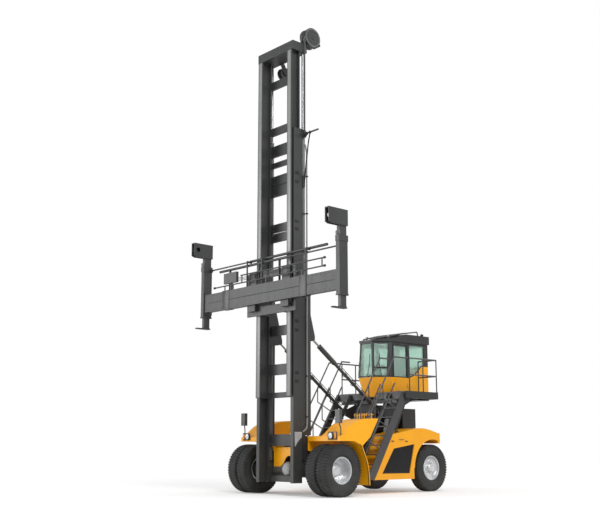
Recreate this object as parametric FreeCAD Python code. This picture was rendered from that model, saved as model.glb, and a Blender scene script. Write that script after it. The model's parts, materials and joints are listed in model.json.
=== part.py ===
import FreeCAD, Part
import math
import os

# Empty container handler: a tall two-stage mast with a side-lift spreader on a four-wheel
# chassis with a raised cab. All sizes in millimetres.
# Working frame: +Z up, the machine faces -Y, +X is its left side, ground at Z = 0 and the
# drive axle at Y = 0. Every piece is moved along Y at export, so that the origin lies on the
# ground under the middle of the whole machine's box.

V = FreeCAD.Vector

# ---- running gear
WHEELBASE = 4430.0
TYRE_DIAMETER = 1370.0
TYRE_WIDTH = 375.0
RIM_FLANGE_DIAMETER = 711.0
RIM_WALL = 14.0
BEAD_SHARE = 0.62                # rim width as a share of the tyre's
TWIN_OUTER_X = 2050.0            # outer face of the outer drive tyre
TWIN_GAP = 30.0
STEER_TYRE_OUTER_X = 1320.0
KINGPIN_X = 870.0
AXLE_TUBE_RADIUS = 170.0
AXLE_CASE_RADIUS = 220.0
BRAKE_RADIUS = 235.0
DRIVE_SPINDLE_RADIUS = 90.0
STEER_SPINDLE_RADIUS = 70.0
KINGPIN_RADIUS = 40.0

# ---- mast
MAST_HALF_WIDTH = 780.0
OUTER_FRONT_Y = -630.0
OUTER_REAR_Y = -310.0
OUTER_PLATE = 30.0
OUTER_FRONT_FLANGE = 120.0
OUTER_REAR_FLANGE = 180.0
OUTER_BOTTOM_Z = 340.0
OUTER_TOP_Z = 10300.0
INNER_FRONT_Y = -700.0
INNER_PLATE = 35.0
INNER_WEB_X = 605.0
INNER_WEB = 30.0
INNER_BOTTOM_Z = 2640.0
INNER_TOP_Z = 12680.0
CROSSBEAM_HEIGHT = 270.0
LIFT_DOWN = 2300.0               # how far the inner mast can sink from where it stands
LIFT_UP = 6000.0                 # and rise
LIFT_CYLINDER_X = 690.0
LIFT_CYLINDER_Y = -200.0
LIFT_BARREL_RADIUS = 62.5
LIFT_ROD_RADIUS = 40.0
TILT_PIN_Y = 124.0               # rod eye of the tilt cylinder, on the outer mast
TILT_PIN_Z = 4270.0
TILT_BASE_Y = 2780.0             # barrel pin of the tilt cylinder, on the cab support
TILT_BASE_Z = 2310.0
TILT_X = 700.0
TILT_ROD_RADIUS = 32.0
TILT_PIN_RADIUS = 30.0           # at the barrel's eye
TILT_BARREL_RADIUS = 70.0
TILT_TUBE_RADIUS = 46.0
EAR_GAP = 55.0                   # from the cylinder's axis to the ears beside it
EAR_PLATE = 22.0

# ---- carriage and spreader
CARRIAGE_REAR_Y = -745.0
CARRIAGE_BAR = 55.0
CARRIAGE_HALF_WIDTH = 1050.0
CARRIAGE_BOTTOM_Z = 4950.0
HOOK_BAR_Z = 6000.0
BEAM_FRONT_Y = -1000.0
BEAM_DEPTH = 180.0
BEAM_BOTTOM_Z = 5260.0
BEAM_HEIGHT = 550.0
BEAM_WALL = 15.0
BEAM_LEFT_X = 1700.0
BEAM_RIGHT_X = -1980.0
SPREADER_LENGTH = 6060.0
POST_WIDTH = 145.0
POST_FRONT_Y = -1030.0
POST_DEPTH = 300.0
POST_BOTTOM_Z = 5110.0
POST_TOP_Z = 6660.0
POST_WALL = 12.0
HEAD_BOTTOM_Z = 6950.0
HEAD_TOP_Z = 7380.0
HEAD_FRONT_Y = -1410.0
FOOT_BOTTOM_Z = 4770.0
FOOT_FRONT_Y = -1260.0
SLIDE_CLEARANCE = 5.0
PAD_CLEARANCE = 0.3
RUNNING_FIT = 0.05               # radial play of a pin, rod or shaft in its bore

# ---- body
FRAME_X = 400.0
FRAME_PLATE = 120.0
FRAME_BOTTOM_Z = 900.0
FRAME_TOP_Z = 1350.0
BODY_HALF_WIDTH = 1350.0
REAR_ARCH_RADIUS = 830.0
FENDER_OUTER_X = 2080.0
FENDER_INNER_X = 830.0
COWL_INNER_X = 1300.0
SHEET = 25.0
DECK_TOP_Z = 2900.0
DECK_HEIGHT = 200.0
DECK_HALF_WIDTH = 1450.0
DECK_FRONT_Y = 3150.0
DECK_REAR_Y = 4620.0
DECK_PLATE = 20.0
NOSE_BAY_X = 310.0               # notch in the deck's front edge for the cab's nose
NOSE_BAY_Y = 3700.0
RAIL_HEIGHT = 980.0
RAIL_RADIUS = 21.0

# ---- cab
CAB_HALF_WIDTH = 650.0
CAB_REAR_Y = 5120.0
CAB_SILL_Z = 3360.0
CAB_EAVE_Z = 4440.0
CAB_ROOF_Z = 4700.0
CAB_WALL = 50.0
CAB_FRONT = ((2780.0, 200.0, 3100.0), (CAB_SILL_Z, 300.0, 2990.0), (CAB_EAVE_Z + 5, 250.0, 3030.0))
CORNER_SLOPE = 1.114             # how far a corner panel runs back for each unit of X
DOOR_FRONT_Y = 3500.0
DOOR_REAR_Y = 4155.0
GLASS = 8.0

# ---- derived places
AXLE_Z = TYRE_DIAMETER / 2
STEER_Y = WHEELBASE
OUTER_WEB_X = MAST_HALF_WIDTH - OUTER_PLATE
INNER_FLANGE_X = OUTER_WEB_X - 2 * SLIDE_CLEARANCE
INNER_REAR_Y = OUTER_REAR_Y - OUTER_PLATE - 4 * SLIDE_CLEARANCE
CROSSBEAM_TOP_Z = INNER_TOP_Z + CROSSBEAM_HEIGHT
HALF_LENGTH = SPREADER_LENGTH / 2
BEAM_REAR_Y = BEAM_FRONT_Y + BEAM_DEPTH
BEAM_TOP_Z = BEAM_BOTTOM_Z + BEAM_HEIGHT
BEAM_MIDDLE_Z = BEAM_BOTTOM_Z + BEAM_HEIGHT / 2
CARRIAGE_FRONT_Y = CARRIAGE_REAR_Y - CARRIAGE_BAR
DECK_BOTTOM_Z = DECK_TOP_Z - DECK_HEIGHT
ORIGIN_SHIFT = -(HEAD_FRONT_Y + CAB_REAR_Y + 40.0) / 2


def block(x, y, z):
    """Rectangular block from three (low, high) pairs."""
    return Part.makeBox(x[1] - x[0], y[1] - y[0], z[1] - z[0], V(x[0], y[0], z[0]))


def bar(start, end, radius):
    """Round bar between two points."""
    a = V(*start)
    b = V(*end)
    return Part.makeCylinder(radius, (b - a).Length, a, b - a)


def outline_x(points, x):
    """Plate across X from an outline in (y, z)."""
    loop = [V(x[0], y, z) for y, z in points]
    return Part.Face(Part.makePolygon(loop + loop[:1])).extrude(V(x[1] - x[0], 0, 0))


def outline_y(points, y):
    """Plate across Y from an outline in (x, z)."""
    loop = [V(px, y[0], z) for px, z in points]
    return Part.Face(Part.makePolygon(loop + loop[:1])).extrude(V(0, y[1] - y[0], 0))


def outline_z(points, z):
    """Plate across Z from an outline in (x, y)."""
    loop = [V(px, py, z[0]) for px, py in points]
    return Part.Face(Part.makePolygon(loop + loop[:1])).extrude(V(0, 0, z[1] - z[0]))


def tapered(low, high):
    """Solid with flat sides between two level outlines with the same corners, each a (points, z)."""
    rings = [[V(x, y, z) for x, y in points] for points, z in (low, high)]
    faces = [Part.Face(Part.makePolygon(ring + ring[:1])) for ring in rings]
    for i in range(len(rings[0])):
        quad = [rings[0][i - 1], rings[0][i], rings[1][i], rings[1][i - 1]]
        faces.append(Part.Face(Part.makePolygon(quad + quad[:1])))
    return Part.makeSolid(Part.makeShell(faces))


def flowing_x(runs, x):
    """Plate across X whose outline in (y, z) is made of smooth runs joined by straight edges."""
    edges = []
    for run, following in zip(runs, runs[1:] + runs[:1]):
        points = [V(x[0], y, z) for y, z in run]
        if len(points) > 2:
            spline = Part.BSplineCurve()
            spline.interpolate(points)
            edges.append(spline.toShape())
        elif len(points) == 2:
            edges.append(Part.makeLine(points[0], points[1]))
        edges.append(Part.makeLine(points[-1], V(x[0], *following[0])))
    return Part.Face(Part.Wire(edges)).extrude(V(x[1] - x[0], 0, 0))


def turned_x(profile, y, z):
    """Solid of revolution about an axis along X, from an outline in (x, radius)."""
    loop = [V(px, y, z + radius) for px, radius in profile]
    face = Part.Face(Part.makePolygon(loop + loop[:1]))
    return face.revolve(V(0, y, z), V(1, 0, 0), 360)


def fuse(pieces):
    """One solid from pieces that meet."""
    whole = pieces[0].multiFuse(pieces[1:])
    return whole.removeSplitter()


def rail(points, radius):
    """Bent round tube through points, with a ball at each bend."""
    pieces = [bar(a, b, radius) for a, b in zip(points, points[1:])]
    pieces += [Part.makeSphere(radius, V(*p)) for p in points[1:-1]]
    return fuse(pieces) if len(pieces) > 1 else pieces[0]


def mirrored(shape):
    """The same piece on the other side of the machine."""
    return shape.mirror(V(0, 0, 0), V(1, 0, 0))


def pair(shape):
    """A piece and its mirror image, apart from each other."""
    return Part.makeCompound([shape, mirrored(shape)])


def slanted(y0, z0, slope, z):
    """Y on a slanted line that passes (y0, z0) and rises slope for each unit of Y."""
    return y0 + (z - z0) / slope


# ---- wheels

def tyre(centre_x, y):
    """Plain tyre to the full diameter of its tread."""
    half = TYRE_WIDTH / 2
    bead = RIM_FLANGE_DIAMETER / 2 - RIM_WALL
    outer = TYRE_DIAMETER / 2
    side = [(BEAD_SHARE * half, bead), (BEAD_SHARE * half, bead + RIM_WALL), (0.74 * half, bead + RIM_WALL + 2),
            (0.92 * half, bead + 60), (half, bead + 145), (0.97 * half, outer - 75), (0.86 * half, outer - 12),
            (0.80 * half, outer)]
    profile = [(centre_x + x, r) for x, r in side] + [(centre_x - x, r) for x, r in reversed(side)]
    return turned_x(profile, y, AXLE_Z)


def rim_barrel(centre_x, y):
    """Steel barrel with its two flanges, inside one tyre."""
    seat = RIM_FLANGE_DIAMETER / 2 - RIM_WALL
    half = BEAD_SHARE * TYRE_WIDTH / 2
    edge = half + RIM_WALL
    profile = [(-edge, seat - RIM_WALL), (-edge, seat + RIM_WALL), (-half, seat + RIM_WALL), (-half, seat),
               (half, seat), (half, seat + RIM_WALL), (edge, seat + RIM_WALL), (edge, seat - RIM_WALL)]
    return turned_x([(centre_x + x, r) for x, r in profile], y, AXLE_Z)


def drive_wheel_centres():
    outer = TWIN_OUTER_X - TYRE_WIDTH / 2
    return outer, outer - TYRE_WIDTH - TWIN_GAP


DRIVE_DISC_X = TWIN_OUTER_X - TYRE_WIDTH - TWIN_GAP / 2
DRIVE_SPINDLE_END_X = DRIVE_DISC_X + 20
BRAKE_END_X = DRIVE_DISC_X - 150


def drive_tyres():
    outer, inner = drive_wheel_centres()
    return Part.makeCompound([tyre(outer, 0), tyre(inner, 0)])


def drive_rim():
    """Twin rim: two barrels, the deep disc between them and the domed hub."""
    outer, inner = drive_wheel_centres()
    seat = RIM_FLANGE_DIAMETER / 2 - RIM_WALL
    spacer = turned_x([(inner + 100, seat - RIM_WALL), (inner + 100, seat), (outer - 100, seat),
                       (outer - 100, seat - RIM_WALL)], 0, AXLE_Z)
    disc = turned_x([(DRIVE_DISC_X - 15, 0), (DRIVE_DISC_X - 15, seat - 2), (DRIVE_DISC_X + 15, seat - 2),
                     (DRIVE_DISC_X + 15, 190), (DRIVE_DISC_X + 120, 165), (DRIVE_DISC_X + 150, 120),
                     (DRIVE_DISC_X + 160, 0)], 0, AXLE_Z)
    boss = bar((DRIVE_DISC_X - 120, 0, AXLE_Z), (DRIVE_DISC_X, 0, AXLE_Z), DRIVE_SPINDLE_RADIUS + 50)
    bore = bar((DRIVE_DISC_X - 130, 0, AXLE_Z), (DRIVE_SPINDLE_END_X + 5, 0, AXLE_Z), DRIVE_SPINDLE_RADIUS + RUNNING_FIT)
    return fuse([rim_barrel(outer, 0), rim_barrel(inner, 0), spacer, disc, boss]).cut(bore)


def drive_axle():
    """Axle tube with its centre case, brakes and wheel spindles."""
    end = DRIVE_DISC_X - 125
    pieces = [bar((-BRAKE_END_X + 340, 0, AXLE_Z), (BRAKE_END_X - 340, 0, AXLE_Z), AXLE_TUBE_RADIUS)]
    case = turned_x([(-300, 0), (-300, AXLE_TUBE_RADIUS), (-180, AXLE_CASE_RADIUS), (180, AXLE_CASE_RADIUS),
                     (300, AXLE_TUBE_RADIUS), (300, 0)], 0, AXLE_Z)
    pinion = bar((0, 0, AXLE_Z), (0, 420, AXLE_Z), 120)
    pieces += [case, pinion]
    for side in (-1, 1):
        pieces.append(bar((side * (BRAKE_END_X - 340), 0, AXLE_Z), (side * BRAKE_END_X, 0, AXLE_Z), BRAKE_RADIUS))
        pieces.append(bar((side * BRAKE_END_X, 0, AXLE_Z), (side * end, 0, AXLE_Z), BRAKE_RADIUS - 60))
        pieces.append(bar((side * end, 0, AXLE_Z), (side * DRIVE_SPINDLE_END_X, 0, AXLE_Z), DRIVE_SPINDLE_RADIUS))
    return fuse(pieces)


STEER_WHEEL_X = STEER_TYRE_OUTER_X - TYRE_WIDTH / 2
STEER_DISC_X = STEER_WHEEL_X + 40
STEER_BOSS_X = STEER_WHEEL_X - 90


def steer_rim():
    """Steer rim with its disc and the hub that stands out of it."""
    seat = RIM_FLANGE_DIAMETER / 2 - RIM_WALL
    face = STEER_DISC_X + 15
    disc = turned_x([(STEER_DISC_X - 15, 0), (STEER_DISC_X - 15, seat - 2), (face, seat - 2), (face, 150),
                     (face + 70, 140), (face + 110, 110), (face + 120, 0)], STEER_Y, AXLE_Z)
    boss = bar((STEER_BOSS_X, STEER_Y, AXLE_Z), (STEER_DISC_X, STEER_Y, AXLE_Z), STEER_SPINDLE_RADIUS + 45)
    bore = bar((STEER_BOSS_X - 5, STEER_Y, AXLE_Z), (STEER_DISC_X + 45, STEER_Y, AXLE_Z),
               STEER_SPINDLE_RADIUS + RUNNING_FIT)
    return fuse([rim_barrel(STEER_WHEEL_X, STEER_Y), disc, boss]).cut(bore)


FORK_GAP = 150.0
FORK_PLATE = 45.0


def knuckle():
    """Steering knuckle: kingpin, the body between the fork's plates, and the wheel spindle."""
    body = bar((KINGPIN_X, STEER_Y, AXLE_Z - FORK_GAP + 5), (KINGPIN_X, STEER_Y, AXLE_Z + FORK_GAP - 5), 80)
    pin = bar((KINGPIN_X, STEER_Y, AXLE_Z - FORK_GAP - FORK_PLATE - 12),
              (KINGPIN_X, STEER_Y, AXLE_Z + FORK_GAP + FORK_PLATE + 12), KINGPIN_RADIUS)
    root = bar((KINGPIN_X, STEER_Y, AXLE_Z), (STEER_BOSS_X - 5, STEER_Y, AXLE_Z), STEER_SPINDLE_RADIUS + 30)
    spindle = bar((STEER_BOSS_X - 5, STEER_Y, AXLE_Z), (STEER_DISC_X + 40, STEER_Y, AXLE_Z), STEER_SPINDLE_RADIUS)
    return fuse([body, pin, root, spindle])


def steer_axle():
    """Axle beam with a fork at each end and the saddle that holds it under the chassis."""
    beam = block((-KINGPIN_X + 130, KINGPIN_X - 130), (STEER_Y - 100, STEER_Y + 100), (AXLE_Z - 130, AXLE_Z + 130))
    saddle = block((-180, 180), (STEER_Y - 180, STEER_Y + 180), (AXLE_Z + 120, FRAME_TOP_Z + 50))
    cylinder = bar((-480, STEER_Y + 130, AXLE_Z), (480, STEER_Y + 130, AXLE_Z), 60)
    pieces = [beam, saddle, cylinder]
    for side in (-1, 1):
        cheek = block(sorted((side * (KINGPIN_X - 200), side * (KINGPIN_X - 125))), (STEER_Y - 95, STEER_Y + 95),
                      (AXLE_Z - FORK_GAP - FORK_PLATE, AXLE_Z + FORK_GAP + FORK_PLATE))
        pieces.append(cheek)
        for low in (AXLE_Z - FORK_GAP - FORK_PLATE, AXLE_Z + FORK_GAP):
            plate = block(sorted((side * (KINGPIN_X - 150), side * KINGPIN_X)), (STEER_Y - 85, STEER_Y + 85),
                          (low, low + FORK_PLATE))
            eye = bar((side * KINGPIN_X, STEER_Y, low), (side * KINGPIN_X, STEER_Y, low + FORK_PLATE), 85)
            pieces += [plate, eye]
    holes = [bar((side * KINGPIN_X, STEER_Y, AXLE_Z - 300), (side * KINGPIN_X, STEER_Y, AXLE_Z + 300),
                 KINGPIN_RADIUS + RUNNING_FIT) for side in (-1, 1)]
    return fuse(pieces).cut(Part.makeCompound(holes))


# ---- mast

def outer_column():
    web = block((OUTER_WEB_X, MAST_HALF_WIDTH), (OUTER_FRONT_Y, OUTER_REAR_Y), (OUTER_BOTTOM_Z, OUTER_TOP_Z))
    front = block((MAST_HALF_WIDTH - OUTER_FRONT_FLANGE, MAST_HALF_WIDTH),
                  (OUTER_FRONT_Y, OUTER_FRONT_Y + OUTER_PLATE), (OUTER_BOTTOM_Z, OUTER_TOP_Z))
    rear = block((MAST_HALF_WIDTH - OUTER_REAR_FLANGE, MAST_HALF_WIDTH),
                 (OUTER_REAR_Y - OUTER_PLATE, OUTER_REAR_Y), (OUTER_BOTTOM_Z, OUTER_TOP_Z))
    return [web, front, rear]


OUTER_TIES = ((350, 520), (1320, 1640), (4410, 4690), (7160, 7410), (7450, 7690), (8540, 8850), (8870, 9160),
              (9430, 9580), (9770, 10100))
TIE_FRONT_Y = OUTER_REAR_Y + 50
TIE_REAR_Y = TIE_FRONT_Y + 90
TIE_PLATE_X = MAST_HALF_WIDTH - OUTER_REAR_FLANGE


def outer_tie(z):
    """Cross member behind the columns, held by a cheek on each rear flange."""
    member = block((-TIE_PLATE_X - 20, TIE_PLATE_X + 20), (TIE_FRONT_Y, TIE_REAR_Y), z)
    cheeks = [block(sorted((side * TIE_PLATE_X, side * (TIE_PLATE_X + 20))), (OUTER_REAR_Y - 5, TIE_REAR_Y), z)
              for side in (-1, 1)]
    return [member] + cheeks


def mast_foot():
    """Lug that turns on the axle tube, with the plate that joins it to the column."""
    x = (TIE_PLATE_X + 20, TIE_PLATE_X + 110)
    ring = bar((x[0], 0, AXLE_Z), (x[1], 0, AXLE_Z), AXLE_TUBE_RADIUS + 50)
    arm = block(x, (OUTER_REAR_Y - 5, 0), (AXLE_Z - 180, AXLE_Z + 200))
    hole = bar((x[0] - 5, 0, AXLE_Z), (x[1] + 5, 0, AXLE_Z), AXLE_TUBE_RADIUS + RUNNING_FIT)
    return ring.fuse(arm).cut(hole)


def tilt_bracket():
    """Side plate of the column with the two ears that hold the tilt rod's eye."""
    back = block((OUTER_WEB_X + 5, MAST_HALF_WIDTH), (OUTER_REAR_Y - 5, 10), (1600, 5450))
    ears = []
    for x in ((TILT_X - EAR_GAP - EAR_PLATE, TILT_X - EAR_GAP), (TILT_X + EAR_GAP, TILT_X + EAR_GAP + EAR_PLATE)):
        ears.append(outline_x([(OUTER_REAR_Y - 5, 4120), (TILT_PIN_Y - 70, TILT_PIN_Z - 90),
                               (TILT_PIN_Y + 50, TILT_PIN_Z - 50), (TILT_PIN_Y + 50, TILT_PIN_Z + 60),
                               (-40, 5100), (OUTER_REAR_Y - 5, 5300)], x))
    return back, ears


def outer_mast():
    """Outer mast: two channel columns, their cross members, feet and tilt brackets."""
    side = outer_column()
    back, ears = tilt_bracket()
    side += [mast_foot(), back]
    barrel_way = bar((LIFT_CYLINDER_X, LIFT_CYLINDER_Y, 3900), (LIFT_CYLINDER_X, LIFT_CYLINDER_Y, 5400),
                     LIFT_BARREL_RADIUS + 2)
    side += [ear.cut(barrel_way) for ear in ears]
    pin = bar((TILT_X - EAR_GAP - 5, TILT_PIN_Y, TILT_PIN_Z), (TILT_X + EAR_GAP + 5, TILT_PIN_Y, TILT_PIN_Z), 25)
    side.append(pin)
    side.append(block((TIE_PLATE_X + 20, OUTER_WEB_X), (OUTER_REAR_Y - 5, LIFT_CYLINDER_Y + LIFT_BARREL_RADIUS),
                      (AXLE_Z + AXLE_TUBE_RADIUS + 55, AXLE_Z + AXLE_TUBE_RADIUS + 85)))
    side.append(fuse([block((OUTER_WEB_X + 6, MAST_HALF_WIDTH), (OUTER_REAR_Y - 5, -225), (OUTER_TOP_Z - 200, OUTER_TOP_Z - 100)),
                      bar((MAST_HALF_WIDTH - 20, -250, OUTER_TOP_Z - 150), (1400, -250, OUTER_TOP_Z - 150), 25)]))
    left = side[:]
    right = [mirrored(piece) for piece in side[:-1]]
    ties = []
    for z in OUTER_TIES:
        ties += outer_tie(z)
    return fuse(left + right + ties)


BARREL_BOTTOM_Z = AXLE_Z + AXLE_TUBE_RADIUS + 85
BARREL_TOP_Z = OUTER_TOP_Z - 50
GLAND = 150.0
PISTON = 120.0
ROD_BOTTOM_Z = BARREL_BOTTOM_Z + LIFT_DOWN + 60


def lift_barrel():
    """Long lift barrel with its gland, clamped to the column at three heights."""
    x = LIFT_CYLINDER_X
    y = LIFT_CYLINDER_Y
    body = bar((x, y, BARREL_BOTTOM_Z), (x, y, BARREL_TOP_Z), LIFT_BARREL_RADIUS)
    clamps = []
    for z in (1900.0, 5600.0, 8300.0, BARREL_TOP_Z - 90):
        clamps.append(block((x - 50, x + 40), (OUTER_REAR_Y, y), (z - 40, z + 40)))
    bore = bar((x, y, BARREL_BOTTOM_Z + 40), (x, y, BARREL_TOP_Z - GLAND), LIFT_BARREL_RADIUS - 12)
    mouth = bar((x, y, BARREL_TOP_Z - GLAND - 5), (x, y, BARREL_TOP_Z + 5), LIFT_ROD_RADIUS + RUNNING_FIT)
    return fuse([body] + clamps).cut(bore).cut(mouth)


def lift_rod():
    x = LIFT_CYLINDER_X
    y = LIFT_CYLINDER_Y
    rod = bar((x, y, ROD_BOTTOM_Z), (x, y, INNER_TOP_Z), LIFT_ROD_RADIUS)
    piston = bar((x, y, ROD_BOTTOM_Z), (x, y, ROD_BOTTOM_Z + PISTON), LIFT_BARREL_RADIUS - 12 - RUNNING_FIT)
    return rod.fuse(piston)


INNER_TIES = ((2640, 2790), (3280, 3580), (10390, 10620), (11850, 12090))
ROLLER_Y = (OUTER_FRONT_Y + OUTER_PLATE + OUTER_REAR_Y - OUTER_PLATE) / 2
ROLLER_RADIUS = (OUTER_REAR_Y - OUTER_FRONT_Y) / 2 - OUTER_PLATE - PAD_CLEARANCE
CARRIAGE_ROLLER_Y = (INNER_FRONT_Y + INNER_REAR_Y) / 2
CARRIAGE_ROLLER_RADIUS = (INNER_REAR_Y - INNER_FRONT_Y) / 2 - INNER_PLATE - PAD_CLEARANCE


def inner_mast():
    """Inner mast: two nested columns, cross members, guide rollers and the top crossbeam."""
    flange_bottom = INNER_BOTTOM_Z + 2 * ROLLER_RADIUS + 50
    web = block((INNER_WEB_X, INNER_WEB_X + INNER_WEB), (INNER_FRONT_Y, INNER_REAR_Y), (INNER_BOTTOM_Z, INNER_TOP_Z))
    front = block((INNER_WEB_X - 40, INNER_FLANGE_X + 10), (INNER_FRONT_Y, INNER_FRONT_Y + INNER_PLATE),
                  (INNER_BOTTOM_Z, INNER_TOP_Z))
    rear = block((INNER_WEB_X, INNER_FLANGE_X), (INNER_REAR_Y - INNER_PLATE, INNER_REAR_Y),
                 (flange_bottom, INNER_TOP_Z))
    lip = block((INNER_WEB_X - 60, INNER_WEB_X + INNER_WEB), (INNER_REAR_Y - INNER_PLATE, INNER_REAR_Y),
                (INNER_BOTTOM_Z, INNER_TOP_Z))
    roller = bar((INNER_WEB_X + INNER_WEB - 5, ROLLER_Y, INNER_BOTTOM_Z + ROLLER_RADIUS + 15),
                 (OUTER_WEB_X - 20, ROLLER_Y, INNER_BOTTOM_Z + ROLLER_RADIUS + 15), ROLLER_RADIUS)
    side = [web, front, rear, lip, roller]
    pieces = side + [mirrored(piece) for piece in side]
    for z in INNER_TIES:
        pieces.append(block((-TIE_PLATE_X + 10, TIE_PLATE_X - 10), (INNER_REAR_Y - 5, INNER_REAR_Y + 80), z))
    pieces.append(block((-MAST_HALF_WIDTH - 10, MAST_HALF_WIDTH + 10), (INNER_FRONT_Y + 20, -130),
                        (INNER_TOP_Z, CROSSBEAM_TOP_Z)))
    pieces += sheave_bracket()
    return fuse(pieces)


SHEAVE_X = (620.0, 870.0)
SHEAVE_Y = 40.0
SHEAVE_Z = 13200.0
SHEAVE_RADIUS = 300.0
LOWER_SHEAVE_X = (-520.0, -360.0)
LOWER_SHEAVE_Y = 40.0
LOWER_SHEAVE_Z = 12450.0
LOWER_SHEAVE_RADIUS = 190.0
SHEAVE_PIN = 45.0


def sheave_bracket():
    """Cheeks behind and below the crossbeam with the pins of the two hose sheaves."""
    upper = []
    for x in ((SHEAVE_X[0] - 35, SHEAVE_X[0] - 10),):
        upper.append(outline_x([(-330, CROSSBEAM_TOP_Z - 60), (-140, INNER_TOP_Z + 30), (60, SHEAVE_Z - 60),
                                (60, SHEAVE_Z + 60), (-40, SHEAVE_Z + 60)], x))
    upper.append(bar((SHEAVE_X[0] - 20, SHEAVE_Y, SHEAVE_Z), (SHEAVE_X[1] + 10, SHEAVE_Y, SHEAVE_Z), SHEAVE_PIN))
    x = (LOWER_SHEAVE_X[1] + 10, LOWER_SHEAVE_X[1] + 30)
    lower = [outline_x([(-200, CROSSBEAM_TOP_Z - 60), (-200, INNER_TOP_Z + 30),
                        (LOWER_SHEAVE_Y - 60, LOWER_SHEAVE_Z - 60), (LOWER_SHEAVE_Y + 60, LOWER_SHEAVE_Z - 60),
                        (LOWER_SHEAVE_Y + 60, LOWER_SHEAVE_Z + 60), (-130, CROSSBEAM_TOP_Z - 60)], x),
             bar((LOWER_SHEAVE_X[0] - 10, LOWER_SHEAVE_Y, LOWER_SHEAVE_Z), (x[1], LOWER_SHEAVE_Y, LOWER_SHEAVE_Z),
                 SHEAVE_PIN)]
    return upper + lower


def sheave(x, y, z, radius):
    """Flanged sheave with a groove, on its pin."""
    groove = radius - 45
    profile = [(x[0], SHEAVE_PIN + RUNNING_FIT), (x[0], radius), (x[0] + 30, radius), (x[0] + 50, groove),
               (x[1] - 50, groove), (x[1] - 30, radius), (x[1], radius), (x[1], SHEAVE_PIN + RUNNING_FIT)]
    return turned_x(profile, y, z)


# ---- tilt cylinders

def tilt_direction():
    run = V(0, TILT_PIN_Y - TILT_BASE_Y, TILT_PIN_Z - TILT_BASE_Z)
    return run.normalize()


def tilt_point(distance):
    """Point on the cylinder's axis, measured from the barrel pin."""
    way = tilt_direction()
    return (TILT_X, TILT_BASE_Y + way.y * distance, TILT_BASE_Z + way.z * distance)


TILT_LENGTH = math.hypot(TILT_PIN_Y - TILT_BASE_Y, TILT_PIN_Z - TILT_BASE_Z)
TILT_BARREL_END = TILT_LENGTH - 340
TILT_BARREL_LENGTH = 750.0


def eye(centre, outer, inner, half):
    ring = bar((centre[0] - half, centre[1], centre[2]), (centre[0] + half, centre[1], centre[2]), outer)
    hole = bar((centre[0] - half - 5, centre[1], centre[2]), (centre[0] + half + 5, centre[1], centre[2]), inner)
    return ring, hole


def tilt_barrel():
    ring, hole = eye(tilt_point(0), 60, TILT_PIN_RADIUS + RUNNING_FIT, 35)
    tube = bar(tilt_point(30), tilt_point(TILT_BARREL_END - TILT_BARREL_LENGTH + 10), TILT_TUBE_RADIUS)
    barrel = bar(tilt_point(TILT_BARREL_END - TILT_BARREL_LENGTH), tilt_point(TILT_BARREL_END), TILT_BARREL_RADIUS)
    bore = bar(tilt_point(TILT_BARREL_END - TILT_BARREL_LENGTH + 40), tilt_point(TILT_BARREL_END + 5),
               TILT_ROD_RADIUS + RUNNING_FIT)
    return fuse([ring, tube, barrel]).cut(hole).cut(bore)


def tilt_rod():
    ring, hole = eye(tilt_point(TILT_LENGTH), 55, 40, 30)
    shank = bar(tilt_point(TILT_BARREL_END - 330), tilt_point(TILT_LENGTH - 45), TILT_ROD_RADIUS)
    return fuse([ring, shank]).cut(hole)


# ---- carriage and spreader

def carriage():
    """Roller plates inside the inner mast and the bars that the spreader hangs on."""
    plate_x = (INNER_WEB_X - 130, INNER_WEB_X - 100)
    roller_z = (CARRIAGE_BOTTOM_Z + 180, HOOK_BAR_Z - 60)
    top = HOOK_BAR_Z + 130
    plate = block(plate_x, (CARRIAGE_REAR_Y - 5, INNER_REAR_Y - 45), (CARRIAGE_BOTTOM_Z, top))
    side = [plate]
    for z in roller_z:
        side.append(bar((plate_x[1] - 5, CARRIAGE_ROLLER_Y, z), (INNER_WEB_X - 10, CARRIAGE_ROLLER_Y, z),
                        CARRIAGE_ROLLER_RADIUS))
    side.append(block((CARRIAGE_HALF_WIDTH - 90, CARRIAGE_HALF_WIDTH), (CARRIAGE_FRONT_Y, CARRIAGE_REAR_Y),
                      (CARRIAGE_BOTTOM_Z, HOOK_BAR_Z + 200)))
    side.append(block((plate_x[0], plate_x[0] + 120), (CARRIAGE_FRONT_Y, CARRIAGE_REAR_Y),
                      (CARRIAGE_BOTTOM_Z, HOOK_BAR_Z + 200)))
    pieces = side + [mirrored(piece) for piece in side]
    for z in ((CARRIAGE_BOTTOM_Z, CARRIAGE_BOTTOM_Z + 250), (HOOK_BAR_Z, HOOK_BAR_Z + 200)):
        pieces.append(block((-CARRIAGE_HALF_WIDTH, CARRIAGE_HALF_WIDTH), (CARRIAGE_FRONT_Y, CARRIAGE_REAR_Y), z))
    return fuse(pieces)


COLLAR_PROUD = 12.0
COLLAR_X = ((BEAM_RIGHT_X, BEAM_RIGHT_X + 320), (BEAM_LEFT_X - 280, BEAM_LEFT_X))
GROOVE = 10.0
INNER_BEAM_INSET = BEAM_WALL + SLIDE_CLEARANCE
WEAR_PAD = 120.0


def beam_half(x, low, high, inset):
    """Length of the beam's lower or upper half, smaller all round by the inset."""
    return block(x, (BEAM_FRONT_Y + inset, BEAM_REAR_Y - inset), (low + inset, high - inset))


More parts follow.
